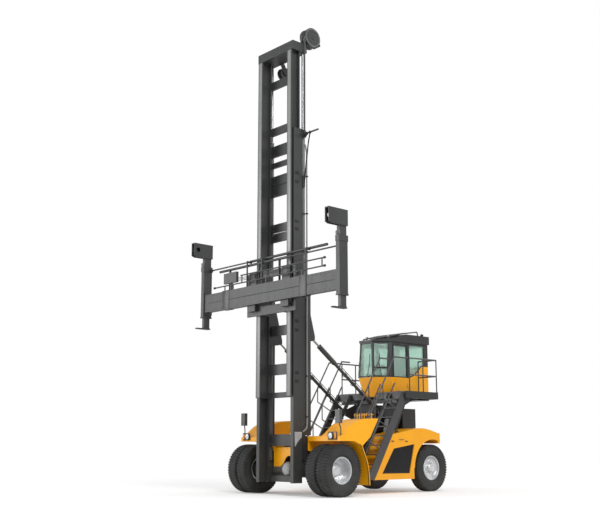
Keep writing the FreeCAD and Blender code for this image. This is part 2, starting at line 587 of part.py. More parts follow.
def main_beam():
    """Two stacked tubes with a groove between them, end collars and hooks over the carriage."""
    x = (BEAM_RIGHT_X, BEAM_LEFT_X)
    body = beam_half(x, BEAM_BOTTOM_Z, BEAM_TOP_Z, 0)
    groove = block((x[0] - 5, x[1] + 5), (BEAM_FRONT_Y - 5, BEAM_FRONT_Y + 6),
                   (BEAM_MIDDLE_Z - GROOVE / 2, BEAM_MIDDLE_Z + GROOVE / 2))
    hollow = [beam_half((x[0] - 5, x[1] + 5), BEAM_BOTTOM_Z, BEAM_MIDDLE_Z, BEAM_WALL),
              beam_half((x[0] - 5, x[1] + 5), BEAM_MIDDLE_Z, BEAM_TOP_Z, BEAM_WALL)]
    pieces = [body.cut(groove)]
    for ends in COLLAR_X:
        pieces.append(block(ends, (BEAM_FRONT_Y - 8, BEAM_REAR_Y), (BEAM_BOTTOM_Z - COLLAR_PROUD, BEAM_TOP_Z + COLLAR_PROUD)))
    for side in (-1, 1):
        x_hook = sorted((side * 560, side * 880))
        pieces.append(block(x_hook, (BEAM_REAR_Y - 45, BEAM_REAR_Y), (BEAM_TOP_Z - 5, HOOK_BAR_Z + 230)))
        pieces.append(block(x_hook, (BEAM_REAR_Y - 45, CARRIAGE_REAR_Y + 30),
                            (HOOK_BAR_Z + 200 + PAD_CLEARANCE, HOOK_BAR_Z + 230)))
        pieces.append(block(x_hook, (CARRIAGE_REAR_Y + SLIDE_CLEARANCE, CARRIAGE_REAR_Y + 30),
                            (HOOK_BAR_Z + 150, HOOK_BAR_Z + 230)))
        pieces.append(block(x_hook, (BEAM_REAR_Y - 100, CARRIAGE_FRONT_Y - PAD_CLEARANCE),
                            (BEAM_BOTTOM_Z - 180, BEAM_BOTTOM_Z)))
    solid = fuse(pieces)
    for void in hollow:
        solid = solid.cut(void)
    for mouth, low, high in ((x[1] - WEAR_PAD, BEAM_BOTTOM_Z, BEAM_MIDDLE_Z), (x[0], BEAM_MIDDLE_Z, BEAM_TOP_Z)):
        ring_x = (mouth, mouth + WEAR_PAD)
        ring = beam_half(ring_x, low, high, BEAM_WALL - 1).cut(beam_half(ring_x, low, high, INNER_BEAM_INSET - PAD_CLEARANCE))
        solid = solid.fuse(ring)
    return solid


TUBE_Y = (BEAM_FRONT_Y + 145, BEAM_REAR_Y + 45)
TUBE_Z = (6450.0, 6580.0)
TUBE_RADIUS = 38.0
TUBE_ROD_RADIUS = 22.0
TUBE_FAR_X = 2300.0
TUBE_NEAR_X = 950.0
HOSE_BAR_Z = (5960.0, 6180.0)
HOSE_BAR_X = 2400.0


def post_foot_z(x):
    """Top of the beam under a post, which is higher on a collar."""
    on_collar = any(low <= x <= high for low, high in COLLAR_X)
    return BEAM_TOP_Z + (COLLAR_PROUD if on_collar else 0)


def extension_cylinders():
    """Two barrels above the beam, their posts, hose bars and the valve box."""
    pieces = []
    bores = []
    for side, y, z in ((1, TUBE_Y[0], TUBE_Z[0]), (-1, TUBE_Y[1], TUBE_Z[1])):
        pieces.append(bar((side * TUBE_NEAR_X, y, z), (-side * TUBE_FAR_X, y, z), TUBE_RADIUS))
        bores.append(bar((side * (TUBE_NEAR_X + 5), y, z), (-side * (TUBE_FAR_X - 40), y, z), TUBE_ROD_RADIUS + RUNNING_FIT))
    for x in (450.0, -450.0, -1800.0):
        pieces.append(block((x - 12, x + 12), (TUBE_Y[0] - 40, TUBE_Y[0] + 30), (post_foot_z(x), TUBE_Z[0])))
    for x in (-250.0, 1600.0, -920.0):
        y_post = (TUBE_Y[0] - 85, TUBE_Y[0] - 45)
        pieces.append(block((x - 12, x + 12), (y_post[0], TUBE_Y[1] + 20), (TUBE_Z[1] - 60, TUBE_Z[1])))
        pieces.append(block((x - 12, x + 12), y_post, (post_foot_z(x), TUBE_Z[1] - 55)))
    y_bar = BEAM_FRONT_Y + 25
    pieces.append(bar((-HOSE_BAR_X, y_bar, HOSE_BAR_Z[0]), (HOSE_BAR_X, y_bar, HOSE_BAR_Z[0]), 20))
    pieces.append(bar((-1150, y_bar, HOSE_BAR_Z[1]), (HOSE_BAR_X, y_bar, HOSE_BAR_Z[1]), 20))
    for x in (-1900.0, -1500.0, 0.0, 1500.0):
        pieces.append(block((x - 15, x + 15), (y_bar - 10, y_bar + 14), (post_foot_z(x), HOSE_BAR_Z[0])))
    for x in (-1100.0, 700.0, 2300.0):
        pieces.append(block((x - 15, x + 15), (y_bar - 10, y_bar + 14), HOSE_BAR_Z))
    for x, z in ((HOSE_BAR_X, HOSE_BAR_Z[0]), (-HOSE_BAR_X, HOSE_BAR_Z[0]), (HOSE_BAR_X, HOSE_BAR_Z[1])):
        pieces.append(bar((x - 25, y_bar, z), (x + 25, y_bar, z), 34))
    pieces.append(block((-1950, -1350), (y_bar - 10, TUBE_Y[0] - 45), (HOSE_BAR_Z[0] + 60, 6330)))
    pieces.append(block((-1640, -1600), (y_bar + 5, TUBE_Y[0] - 50), (post_foot_z(-1620), HOSE_BAR_Z[0] + 65)))
    return fuse(pieces).cut(Part.makeCompound(bores))


POST_INNER_X = HALF_LENGTH - POST_WIDTH
LEG_GAP = POST_WALL + SLIDE_CLEARANCE


def telescopic_beam(side, low, high):
    """Sliding beam with its end box, the end post's sleeve, and the lower leg with its foot."""
    inner_end = -BEAM_RIGHT_X if side < 0 else BEAM_LEFT_X
    x_start = (-1900.0 if side > 0 else -1650.0)
    slider = fuse([beam_half((x_start, inner_end + 10), low, high, INNER_BEAM_INSET),
                   beam_half((x_start, x_start + WEAR_PAD), low, high, BEAM_WALL + PAD_CLEARANCE)])
    box = beam_half((inner_end + SLIDE_CLEARANCE, POST_INNER_X + 5), BEAM_BOTTOM_Z, BEAM_TOP_Z, 8)
    groove = block((inner_end, POST_INNER_X), (BEAM_FRONT_Y, BEAM_FRONT_Y + 14),
                   (BEAM_MIDDLE_Z - GROOVE / 2, BEAM_MIDDLE_Z + GROOVE / 2))
    end_plate = block((POST_INNER_X - 45, POST_INNER_X + 5), (POST_FRONT_Y + 40, POST_FRONT_Y + POST_DEPTH - 10),
                      (BEAM_BOTTOM_Z - 60, BEAM_TOP_Z + 60))
    post_y = (POST_FRONT_Y, POST_FRONT_Y + POST_DEPTH)
    sleeve = block((POST_INNER_X, HALF_LENGTH - 10), post_y, (POST_BOTTOM_Z, POST_TOP_Z))
    collar = block((POST_INNER_X - 8, HALF_LENGTH), (post_y[0] - 12, post_y[1] + 12), (POST_TOP_Z - 130, POST_TOP_Z + 30))
    skirt = block((POST_INNER_X - 8, HALF_LENGTH), (post_y[0] - 12, post_y[1] + 12), (POST_BOTTOM_Z, POST_BOTTOM_Z + 40))
    cavity = block((POST_INNER_X + POST_WALL, HALF_LENGTH - 10 - POST_WALL),
                   (post_y[0] + POST_WALL, post_y[1] - POST_WALL), (5560, POST_TOP_Z + 40))
    leg_x = (POST_INNER_X + LEG_GAP, HALF_LENGTH - 10 - LEG_GAP)
    leg = block(leg_x, (post_y[0] + 50, post_y[1] - 50), (FOOT_BOTTOM_Z + 30, POST_BOTTOM_Z + 10))
    foot = block(leg_x, (post_y[0] + 40, post_y[1] - 40), (FOOT_BOTTOM_Z + 25, FOOT_BOTTOM_Z + 60))
    middle = (leg_x[0] + leg_x[1]) / 2
    toe_centre = FOOT_FRONT_Y + 75
    toe = fuse([block((middle - 75, middle + 65), (toe_centre, post_y[1] - 30), (FOOT_BOTTOM_Z, FOOT_BOTTOM_Z + 30)),
                bar((middle - 5, toe_centre, FOOT_BOTTOM_Z), (middle - 5, toe_centre, FOOT_BOTTOM_Z + 30), 70)])
    shape = fuse([slider, box.cut(groove), end_plate, sleeve, collar, skirt, leg, foot, toe]).cut(cavity)
    z_rod = TUBE_Z[0] if side > 0 else TUBE_Z[1]
    y_rod = TUBE_Y[0] if side > 0 else TUBE_Y[1]
    lug = block((POST_INNER_X - 60, POST_INNER_X + 5), (y_rod - 40, y_rod + 40), (z_rod - 45, z_rod + 45))
    rod = bar((POST_INNER_X - 50, y_rod, z_rod), (-TUBE_FAR_X + 60, y_rod, z_rod), TUBE_ROD_RADIUS)
    shape = fuse([shape, lug, rod])
    return shape if side > 0 else mirrored(shape)


def head_leg(side):
    """Upper leg in the sleeve, with the hollow head box that reaches forward."""
    x = (POST_INNER_X + LEG_GAP, HALF_LENGTH - 10 - LEG_GAP)
    y = (POST_FRONT_Y + LEG_GAP, POST_FRONT_Y + POST_DEPTH - LEG_GAP)
    leg = block(x, (y[0] + 8, y[1] - 8), (5580, HEAD_BOTTOM_Z + 10))
    pads = [block((x[0], x[1]), (y[0] + SLIDE_CLEARANCE - 5 - 4.7, y[1] + 4.7), (z, z + 80)) for z in (5600, 6500)]
    box_x = (POST_INNER_X - 8, HALF_LENGTH)
    outside = outline_x([(POST_FRONT_Y + POST_DEPTH + 10, HEAD_BOTTOM_Z), (POST_FRONT_Y + POST_DEPTH + 10, HEAD_TOP_Z),
                         (HEAD_FRONT_Y, HEAD_TOP_Z), (HEAD_FRONT_Y, HEAD_BOTTOM_Z + 40),
                         (HEAD_FRONT_Y + 90, HEAD_BOTTOM_Z)], box_x)
    inside = block((box_x[0] + 20, box_x[1] - 20), (HEAD_FRONT_Y - 5, POST_FRONT_Y - 10),
                   (HEAD_BOTTOM_Z - 5, HEAD_TOP_Z - 30))
    window = bar((box_x[0] - 5, HEAD_FRONT_Y + 150, HEAD_BOTTOM_Z + 230),
                 (box_x[0] + 30, HEAD_FRONT_Y + 150, HEAD_BOTTOM_Z + 230), 70)
    pin = bar((box_x[0] + 10, HEAD_FRONT_Y + 110, HEAD_BOTTOM_Z + 60), (box_x[1] - 10, HEAD_FRONT_Y + 110,
              HEAD_BOTTOM_Z + 60), 28)
    shape = fuse([leg, outside.cut(inside).cut(window), pin] + pads)
    return shape if side > 0 else mirrored(shape)


# ---- chassis

ENGINE_X = 380.0
ENGINE_Y = (2150.0, 3480.0)
ENGINE_Z = (FRAME_BOTTOM_Z + 60, 1750.0)
REAR_DECK_Z = 1700.0


def chassis_frame():
    """Two deep rails, their cross members, the saddles on the drive axle and the raised rear end."""
    rail_x = (FRAME_X, FRAME_X + FRAME_PLATE)
    pieces = []
    for side in (-1, 1):
        x = sorted((side * rail_x[0], side * rail_x[1]))
        pieces.append(block(x, (180, STEER_Y - REAR_ARCH_RADIUS), (FRAME_BOTTOM_Z, FRAME_TOP_Z)))
        pieces.append(block(x, (2900, CAB_REAR_Y - 60), (FRAME_TOP_Z + 50, FRAME_TOP_Z + 250)))
        pieces.append(block(x, (2900, STEER_Y - REAR_ARCH_RADIUS), (FRAME_TOP_Z - 5, FRAME_TOP_Z + 60)))
        saddle = outline_x([(-150, AXLE_Z + 60), (150, AXLE_Z + 60), (400, FRAME_BOTTOM_Z + 5), (400, FRAME_TOP_Z - 200),
                            (120, FRAME_TOP_Z - 200), (-150, AXLE_Z + 250)], x)
        pieces.append(saddle)
    pieces.append(outline_y([(-FRAME_X - 220, FRAME_TOP_Z), (-FRAME_X - 220, FRAME_TOP_Z - 150), (-FRAME_X, 800),
                             (-150, 520), (150, 520), (FRAME_X, 800), (FRAME_X + 220, FRAME_TOP_Z - 150),
                             (FRAME_X + 220, FRAME_TOP_Z)], (430, 470)))
    for y in (1100.0, 1900.0, 2700.0, 3500.0):
        pieces.append(block((-FRAME_X - 5, FRAME_X + 5), (y, y + 90), (FRAME_BOTTOM_Z, FRAME_BOTTOM_Z + 60)))
    for y, half in ((900.0, FENDER_INNER_X), (2000.0, 760.0)):
        pieces.append(block((-half, half), (y, y + 80), (FRAME_TOP_Z - 150, FRAME_TOP_Z - 20)))
    pieces.append(block((-FRAME_X - 5, FRAME_X + 5), (STEER_Y - 200, STEER_Y + 200), (FRAME_TOP_Z + 50, FRAME_TOP_Z + 200)))
    whole = fuse(pieces)
    tube = bar((-1000, 0, AXLE_Z), (1000, 0, AXLE_Z), AXLE_TUBE_RADIUS + PAD_CLEARANCE)
    drive = bar((0, 0, AXLE_Z), (0, 600, AXLE_Z), 125)
    engine_way = block((-ENGINE_X - 5, ENGINE_X + 5), (ENGINE_Y[0] - 5, ENGINE_Y[1] + 5), (ENGINE_Z[0], ENGINE_Z[1] + 5))
    return whole.cut(tube).cut(drive).cut(engine_way)


def engine():
    return block((-ENGINE_X, ENGINE_X), ENGINE_Y, ENGINE_Z)


def engine_hood():
    """Black hood over the engine with sloping edges."""
    half = 430.0
    low = ENGINE_Z[1]
    top = 2540.0
    return outline_y([(-half, low), (half, low), (half, top - 150), (half - 150, top), (-half + 150, top),
                      (-half, top - 150)], (2900, 3600))


def radiator():
    core = block((-520, 520), (4030, 4620), (1862, 2440))
    lower = block((-480, 480), (4080, 4570), (REAR_DECK_Z, 1864))
    return fuse([core, lower])


def arch_tool(x):
    return bar((x[0] - 5, STEER_Y, AXLE_Z), (x[1] + 5, STEER_Y, AXLE_Z), REAR_ARCH_RADIUS)


BODY_TOP = ((2660.0, 1655.0), (3240.0, 1750.0), (3600.0, 1810.0), (3950.0, 1838.0), (4150.0, 1820.0),
            (4450.0, 1760.0), (4725.0, 1690.0))


def body_top_z(y):
    """Height of the side tank's top at a place along the machine."""
    for (y0, z0), (y1, z1) in zip(BODY_TOP, BODY_TOP[1:]):
        if y0 <= y <= y1:
            return z0 + (z1 - z0) * (y - y0) / (y1 - y0)
    return BODY_TOP[0][1]


def rear_body():
    """Side tanks with slanted fronts, arched over the steer wheels, their tops crowned."""
    x = (FRAME_X + FRAME_PLATE + 60, BODY_HALF_WIDTH)
    foot = [(1860, 385), (STEER_Y - REAR_ARCH_RADIUS - 30, 385), (STEER_Y - REAR_ARCH_RADIUS - 30, 700),
            (STEER_Y, 700), (STEER_Y, 1300), (4725, 1385)]
    side = flowing_x([[corner] for corner in foot] + [list(reversed(BODY_TOP))], x)
    recess = outline_x([(2212, 553), (3375, 546), (3606, 1379), (2709, 1248)], (x[1] - 60, x[1] + 5))
    side = side.cut(arch_tool(x)).cut(recess)
    ledge = block((FRAME_X + FRAME_PLATE, x[0] + 5), (2700, 3500), (1150, 1250))
    return pair(fuse([side, ledge]))


def side_grilles():
    x = (BODY_HALF_WIDTH - 60, BODY_HALF_WIDTH - 30)
    return pair(outline_x([(2212, 553), (3375, 546), (3606, 1379), (2709, 1248)], x))


TOW_PIN_Y = 5055.0
TOW_PIN_RADIUS = 25.0
TOW_JAW_X = 85.0
TOW_JAW_Z = (1500.0, 1600.0)


def counterweight():
    """Cast block across the rear, above the sweep of the steer wheels."""
    x = FRAME_X + FRAME_PLATE + 60
    block_z = (FRAME_TOP_Z + 250, REAR_DECK_Z)
    middle = block((-x, x), (3620, 4725), block_z)
    tail = outline_z([(-BODY_HALF_WIDTH + 60, 4725), (BODY_HALF_WIDTH - 60, 4725), (BODY_HALF_WIDTH - 120, 4900),
                      (950, CAB_REAR_Y), (-950, CAB_REAR_Y), (-BODY_HALF_WIDTH + 120, 4900)],
                     (FRAME_TOP_Z + 50, REAR_DECK_Z))
    way = [block(sorted((s * FRAME_X, s * (FRAME_X + FRAME_PLATE))), (4700, CAB_REAR_Y - 60),
                 (FRAME_TOP_Z, FRAME_TOP_Z + 250)) for s in (-1, 1)]
    jaw = block((-TOW_JAW_X, TOW_JAW_X), (TOW_PIN_Y - TOW_JAW_X, CAB_REAR_Y + 5), TOW_JAW_Z)
    pin_hole = bar((0, TOW_PIN_Y, FRAME_TOP_Z), (0, TOW_PIN_Y, REAR_DECK_Z + 5), TOW_PIN_RADIUS)
    return fuse([middle, tail]).cut(Part.makeCompound(way)).cut(jaw).cut(pin_hole)


def front_fender():
    """Cowl over the twin drive wheels, the low shelf beside the mast and the rear mudguard."""
    arch_bottom = 1445.0
    crown = [(-150, 1560), (-78, 1590), (220, 1810), (523, 1972), (800, 2030), (1063, 2049), (1314, 2049)]
    under = [(990, 1556), (675, 1310), (640, 1340), (500, 1400), (364, arch_bottom), (-150, arch_bottom)]
    outside = flowing_x([crown] + [[corner] for corner in under], (COWL_INNER_X, FENDER_OUTER_X))
    lining = [(-150 + SHEET, 1537), (-65, 1563), (230, 1785), (530, 1945), (800, 2003), (1063, 2022), (1265, 2022)]
    below = [(960, 1565), (675, 1345), (505, 1425), (370, arch_bottom + SHEET), (-150 + SHEET, arch_bottom + SHEET)]
    hollow = flowing_x([lining] + [[corner] for corner in below], (COWL_INNER_X + SHEET, FENDER_OUTER_X - SHEET))
    flap = flowing_x([[(620, 1352)], [(690, 1322), (765, 1150), (850, 980), (925, 716), (963, 286)],
                      [(938, 286), (900, 716), (825, 970), (745, 1125), (680, 1250)]],
                     (TWIN_OUTER_X - 2 * TYRE_WIDTH - TWIN_GAP - 10, FENDER_OUTER_X))
    shelf = block((FENDER_INNER_X, COWL_INNER_X + 5), (-150, 980), (1580 - SHEET, 1580))
    lip = block((FENDER_INNER_X, COWL_INNER_X + 5), (-150, -150 + SHEET), (arch_bottom, 1580))
    inner_side = outline_x([(-150, arch_bottom - 250), (-100, 1180), (980, 1180), (980, 1580), (-150, 1580)],
                           (FENDER_INNER_X, FENDER_INNER_X + SHEET))
    brace = block((FENDER_INNER_X, COWL_INNER_X + 5), (955, 980), (1180, 1580))
    return fuse([outside.cut(hollow), flap, shelf, lip, inner_side, brace])


def headlight():
    x = (1650.0, 1980.0)
    frame = block(x, (-172, -150), (1480, 1690))
    lamp = bar(((x[0] + x[1]) / 2 - 60, -205, 1585), ((x[0] + x[1]) / 2 - 60, -170, 1585), 85)
    side_lamp = block((x[1] - 90, x[1] - 20), (-185, -170), (1510, 1660))
    return fuse([frame, lamp, side_lamp])


def mirror():
    x = FENDER_OUTER_X - 60
    pole = rail([(x, -60, 1585), (x, -60, 1780), (x - 20, -90, 1880), (x - 20, -90, 2000)], 16)
    head = block((x - 110, x + 60), (-160, -60), (1905, 2265))
    return fuse([pole, head]).cut(front_fender())


STAIR_X = (800.0, 1390.0)
STAIR_SLOPE = 1.62
STAIR_BOTTOM_Z = 400.0
STAIR_BOTTOM_Y = 1560.0
STRINGER_WIDTH = (150.0, 300.0)  # inner and outer
TREAD_WIDTH = 190.0
STAIR_STEPS = 9


def stair_y(z):
    return slanted(STAIR_BOTTOM_Y, STAIR_BOTTOM_Z, STAIR_SLOPE, z)


def stair():
    """Steep stair up to the deck: two stringers, treads and a handrail on each side."""
    pieces = []
    top_z = DECK_TOP_Z - 30
    for x, width in ((STAIR_X[0], STRINGER_WIDTH[0]), (STAIR_X[1] - 30, STRINGER_WIDTH[1])):
        pieces.append(outline_x([(stair_y(STAIR_BOTTOM_Z), STAIR_BOTTOM_Z), (stair_y(STAIR_BOTTOM_Z) + width, STAIR_BOTTOM_Z),
                                 (stair_y(top_z) + width, top_z), (stair_y(top_z), top_z)], (x, x + 30)))
    rise = (DECK_TOP_Z - STAIR_BOTTOM_Z) / (STAIR_STEPS + 0.4)
    for step in range(STAIR_STEPS):
        z = STAIR_BOTTOM_Z + rise * (step + 0.6)
        y = stair_y(z)
        pieces.append(block((STAIR_X[0] + 5, STAIR_X[1] - 5), (y - 10, y + TREAD_WIDTH - 10), (z - 30, z)))
    tie_y = stair_y(1250)
    pieces.append(block((FRAME_X + FRAME_PLATE, STAIR_X[0] + 5), (tie_y + 20, tie_y + 100), (1180, 1260)))
    deck_space = block((STAIR_X[0] - 10, STAIR_X[1] + 10), (DECK_FRONT_Y - PAD_CLEARANCE, DECK_REAR_Y),
                       (STAIR_BOTTOM_Z, DECK_TOP_Z))
    return fuse([fuse(pieces).cut(deck_space)] + stair_handrail(STAIR_X[0] + 15, DECK_FRONT_Y - 30)
                + stair_handrail(STAIR_X[1] - 15, DECK_FRONT_Y + 190))


HANDRAIL_REACH = 800.0           # square to the stringer


def stair_handrail(x, end_y):
    """Two parallel rails and their kinked posts on one stringer; the upper rail runs on over the deck."""
    length = math.hypot(1, STAIR_SLOPE)
    back = HANDRAIL_REACH * STAIR_SLOPE / length
    up = HANDRAIL_REACH / length
    top_z = DECK_TOP_Z + RAIL_HEIGHT
    corner = (x, stair_y(top_z - up) - back, top_z)
    pieces = [rail([(x, stair_y(900) - back, 900 + up), corner, (x, end_y, top_z)], RAIL_RADIUS),
              bar((x, stair_y(900) - back / 2, 900 + up / 2), (x, stair_y(2900) - back / 2, 2900 + up / 2), RAIL_RADIUS)]
    for z in (900.0, 1500.0, 2100.0, 2650.0):
        top = (x, stair_y(z) - back, z + up)
        knee = (x, top[1], top[2] - 420)
        base = (x, stair_y(knee[2] - 260) + 20, knee[2] - 260)
        pieces.append(rail([top, knee, base], RAIL_RADIUS - 5))
    return pieces


def platform():
    """Deck with a deep skirt: a walkway on each side of the cab and bays under it."""
    cab_x = CAB_HALF_WIDTH + 10
    half = [(NOSE_BAY_X, NOSE_BAY_Y), (NOSE_BAY_X, DECK_FRONT_Y), (DECK_HALF_WIDTH, DECK_FRONT_Y),
            (DECK_HALF_WIDTH, DECK_REAR_Y), (cab_x, DECK_REAR_Y), (cab_x, CAB_REAR_Y)]
    outline = half + [(-x, y) for x, y in reversed(half)]
    slab = outline_z(outline, (DECK_BOTTOM_Z, DECK_TOP_Z))
    hollows = [block((-cab_x, cab_x), (3790, 4550), (DECK_BOTTOM_Z - 5, DECK_TOP_Z - DECK_PLATE))]
    for side in (-1, 1):
        for x in ((cab_x + 60, DECK_HALF_WIDTH - 60), (NOSE_BAY_X + 60, cab_x)):
            for y in ((DECK_FRONT_Y + 60, 3740), (3790, 4550)):
                hollows.append(block(sorted((side * x[0], side * x[1])), y,
                                     (DECK_BOTTOM_Z - 5, DECK_TOP_Z - DECK_PLATE)))
    return slab.cut(Part.makeCompound(hollows))


def railing():
    """Hand rail and knee rail round the outer edge of one walkway."""
    x = DECK_HALF_WIDTH - 30
    y = (DECK_FRONT_Y + 220, DECK_REAR_Y - 30)
    inner_x = CAB_HALF_WIDTH + 60
    pieces = []
    for height in (RAIL_HEIGHT, RAIL_HEIGHT * 0.5):
        z = DECK_TOP_Z + height
        pieces.append(rail([(x, y[0], z), (x, y[1], z), (inner_x, y[1], z)], RAIL_RADIUS))
    for px, py in ((x, y[0]), (x, (y[0] + y[1]) / 2), (x, y[1]), (inner_x, y[1])):
        pieces.append(bar((px, py, DECK_TOP_Z), (px, py, DECK_TOP_Z + RAIL_HEIGHT), RAIL_RADIUS - 3))
    return fuse(pieces)


def cab_support():
    """Raked trunk on each side that carries the deck and the tilt cylinder's rear pin."""
    foot = (3050, 3450)
    sunk = 60
    pin_y = TILT_BASE_Y
    pin_z = TILT_BASE_Z
    profile = [(foot[0], body_top_z(foot[0]) - sunk), (3130, 2120), (pin_y + 50, pin_z - 75), (pin_y - 70, pin_z - 55),
               (pin_y - 70, pin_z + 55), (pin_y + 40, pin_z + 75), (3260, 2560), (3320, DECK_BOTTOM_Z),
               (4250, DECK_BOTTOM_Z), (3880, 2540), (foot[1], body_top_z(foot[1]) - sunk)]
    x = (TILT_X - EAR_GAP - EAR_PLATE, TILT_X + EAR_GAP + EAR_PLATE)
    inside = (TILT_X - EAR_GAP, TILT_X + EAR_GAP)
    cavity = outline_x([(pin_y - 100, pin_z - 150), (3290, pin_z - 150), (3290, pin_z + 350), (pin_y - 100, pin_z + 350)],
                       inside)
    trunk = outline_x(profile, x).cut(cavity)
    pin = bar((x[0], pin_y, pin_z), (x[1], pin_y, pin_z), TILT_PIN_RADIUS)
    side = fuse([trunk, pin])
    crossbeam = block((-1380, 1380), (DECK_FRONT_Y + 145, DECK_FRONT_Y + 250), (DECK_BOTTOM_Z - 120, DECK_BOTTOM_Z))
    return fuse([side, mirrored(side), crossbeam]).cut(rear_body())


# ---- cab

CAB_FLOOR_Z = DECK_TOP_Z + PAD_CLEARANCE
CAB_TOP_Z = CAB_EAVE_Z + 5
CORNER_LENGTH = math.hypot(1, CORNER_SLOPE)
NOSE_X = 300.0                   # the cab's nose hangs into the deck's notch
NOSE_REAR_Y = 3690.0
MULLION = 28.0                   # from a front edge to the glass beside it
POST_X = 575.0                   # outer edge of the corner panes
BAR_Z = (3630.0, 3665.0)         # bar across the corner panes
PANE_Z = (CAB_SILL_Z + 40, CAB_EAVE_Z - 50)
PANE_DEPTH = (15.0, 15.0 + GLASS)
CUT_DEPTH = (-60.0, 90.0)
DOOR_GAP = 9.0
DOOR_Z = (CAB_FLOOR_Z + CAB_WALL + DOOR_GAP, CAB_EAVE_Z - 60)
QUARTER_Y = (4240.0, 4920.0)
SILL_CURVE = [(QUARTER_Y[0], CAB_SILL_Z + 12), (4400, 3425), (4560, 3520), (4700, 3635), (4820, 3750)]
REAR_WINDOW_Z = (3790.0, CAB_EAVE_Z - 60)
REAR_WINDOW_X = 530.0


def cab_front(z):
    """Half-width and Y of the front panel at a height."""
    for (z0, x0, y0), (z1, x1, y1) in zip(CAB_FRONT, CAB_FRONT[1:]):
        if z <= z1:
            break
    share = (z - z0) / (z1 - z0)
    return x0 + (x1 - x0) * share, y0 + (y1 - y0) * share


def corner_y(x, z, inset=0.0):
    """Y of the corner panel at a place across the cab, moved into the cab by inset."""
    middle, front = cab_front(z)
    return front + (x - middle) * CORNER_SLOPE + inset * CORNER_LENGTH


def cab_plan(z, inset, side, rear):
    """Level outline of the cab with its three-panel front."""
    middle, front = cab_front(z)
    edge = middle + inset * (1 - CORNER_LENGTH) / CORNER_SLOPE
    half = [(edge, front + inset), (side, corner_y(side, z, inset)), (side, rear)]
    return half + [(-x, y) for x, y in reversed(half)]


def cab_volume(inset, low, high):
    """Cab's body inside its walls' outer faces by inset, between two heights."""
    side = CAB_HALF_WIDTH - inset
    rear = CAB_REAR_Y - inset
    return tapered((cab_plan(low, inset, side, rear), low), (cab_plan(high, inset, side, rear), high))


def nose_volume(inset, high):
    """Nose that hangs from the cab's floor into the deck's notch."""
    low = CAB_FRONT[0][0] + inset
    side = NOSE_X - inset
    rear = NOSE_REAR_Y - inset
    return tapered((cab_plan(low, inset, side, rear), low), (cab_plan(high, inset, side, rear), high))


def front_pane(depth):
    """Slab along the front panel, inside its frame."""
    levels = []
    for z in PANE_Z:
        middle, front = cab_front(z)
        x = middle - MULLION
        levels.append(([(-x, front + depth[0]), (x, front + depth[0]), (x, front + depth[1]), (-x, front + depth[1])], z))
    return tapered(*levels)


def corner_pane(depth, heights):
    """Slab along the left corner panel between two heights."""
    levels = []
    for z in heights:
        start = cab_front(z)[0] + MULLION
        corners = []
        for x, inset in ((start, depth[0]), (POST_X, depth[0]), (POST_X, depth[1]), (start, depth[1])):
            moved = inset / CORNER_LENGTH
            corners.append((x - moved * CORNER_SLOPE, corner_y(x, z) + moved))
        levels.append((corners, z))
    return tapered(*levels)


def corner_panes(depth):
    """Upper and lower slabs of both corner panels."""
    panes = [corner_pane(depth, (PANE_Z[0], BAR_Z[0])), corner_pane(depth, (BAR_Z[1], PANE_Z[1]))]
    return panes + [mirrored(pane) for pane in panes]


def door_outline(grow):
    """Side outline of a door: upright front edge over a foot that follows the cab's corner."""
    foot_y = corner_y(CAB_HALF_WIDTH, DOOR_Z[0]) + 110
    return [(foot_y - grow, DOOR_Z[0] - grow), (DOOR_FRONT_Y - grow, CAB_SILL_Z), (DOOR_FRONT_Y - grow, DOOR_Z[1] + grow),
            (DOOR_REAR_Y + grow, DOOR_Z[1] + grow), (DOOR_REAR_Y + grow, DOOR_Z[0] - grow)]


def quarter_window(x):
    """Slab through the rear side window, whose sill sweeps up towards the back."""
    top = CAB_EAVE_Z - 60
    sill = [(y, z + 28) for y, z in SILL_CURVE]
    return flowing_x([sill, [(QUARTER_Y[1], sill[-1][1])], [(QUARTER_Y[1], top)], [(QUARTER_Y[0], top)]], x)


def painted_base():
    """Space below the line where the cab's paint ends and its dark window frame begins."""
    rear = CAB_REAR_Y + 5
    corners = [(rear, SILL_CURVE[-1][1]), (rear, 2000), (2500, 2000), (2500, CAB_SILL_Z), (4200, CAB_SILL_Z)]
    return flowing_x([SILL_CURVE] + [[corner] for corner in corners], (-CAB_HALF_WIDTH - 60, CAB_HALF_WIDTH + 60))


def cab_walls():
    """Hollow cab with openings for the windscreens, two doors, quarter windows and rear window."""
    outside = fuse([cab_volume(0, CAB_FLOOR_Z, CAB_SILL_Z), cab_volume(0, CAB_SILL_Z, CAB_TOP_Z),
                    nose_volume(0, CAB_FLOOR_Z + CAB_WALL)])
    inside = fuse([cab_volume(CAB_WALL, CAB_FLOOR_Z + CAB_WALL, CAB_SILL_Z),
                   cab_volume(CAB_WALL, CAB_SILL_Z, CAB_TOP_Z - CAB_WALL), nose_volume(CAB_WALL, CAB_FLOOR_Z + CAB_WALL + 5)])
    hatch = block((-CAB_HALF_WIDTH + 100, CAB_HALF_WIDTH - 100), (DOOR_FRONT_Y, CAB_REAR_Y - 100),
                  (CAB_TOP_Z - CAB_WALL - 5, CAB_TOP_Z + 5))
    sides = (-CAB_HALF_WIDTH - 5, CAB_HALF_WIDTH + 5)
    rear = block((-REAR_WINDOW_X, REAR_WINDOW_X), (CAB_REAR_Y - CAB_WALL - 5, CAB_REAR_Y + 5), REAR_WINDOW_Z)
    cuts = [inside, hatch, front_pane(CUT_DEPTH), outline_x(door_outline(DOOR_GAP), sides), quarter_window(sides), rear]
    walls = outside
    for tool in cuts + corner_panes(CUT_DEPTH):
        walls = walls.cut(tool)
    return walls


def cab_shell():
    """Painted lower part of the cab with the doors' lower hinge pins."""
    return with_pins(cab_walls().common(painted_base()), HINGE_Z[:1])


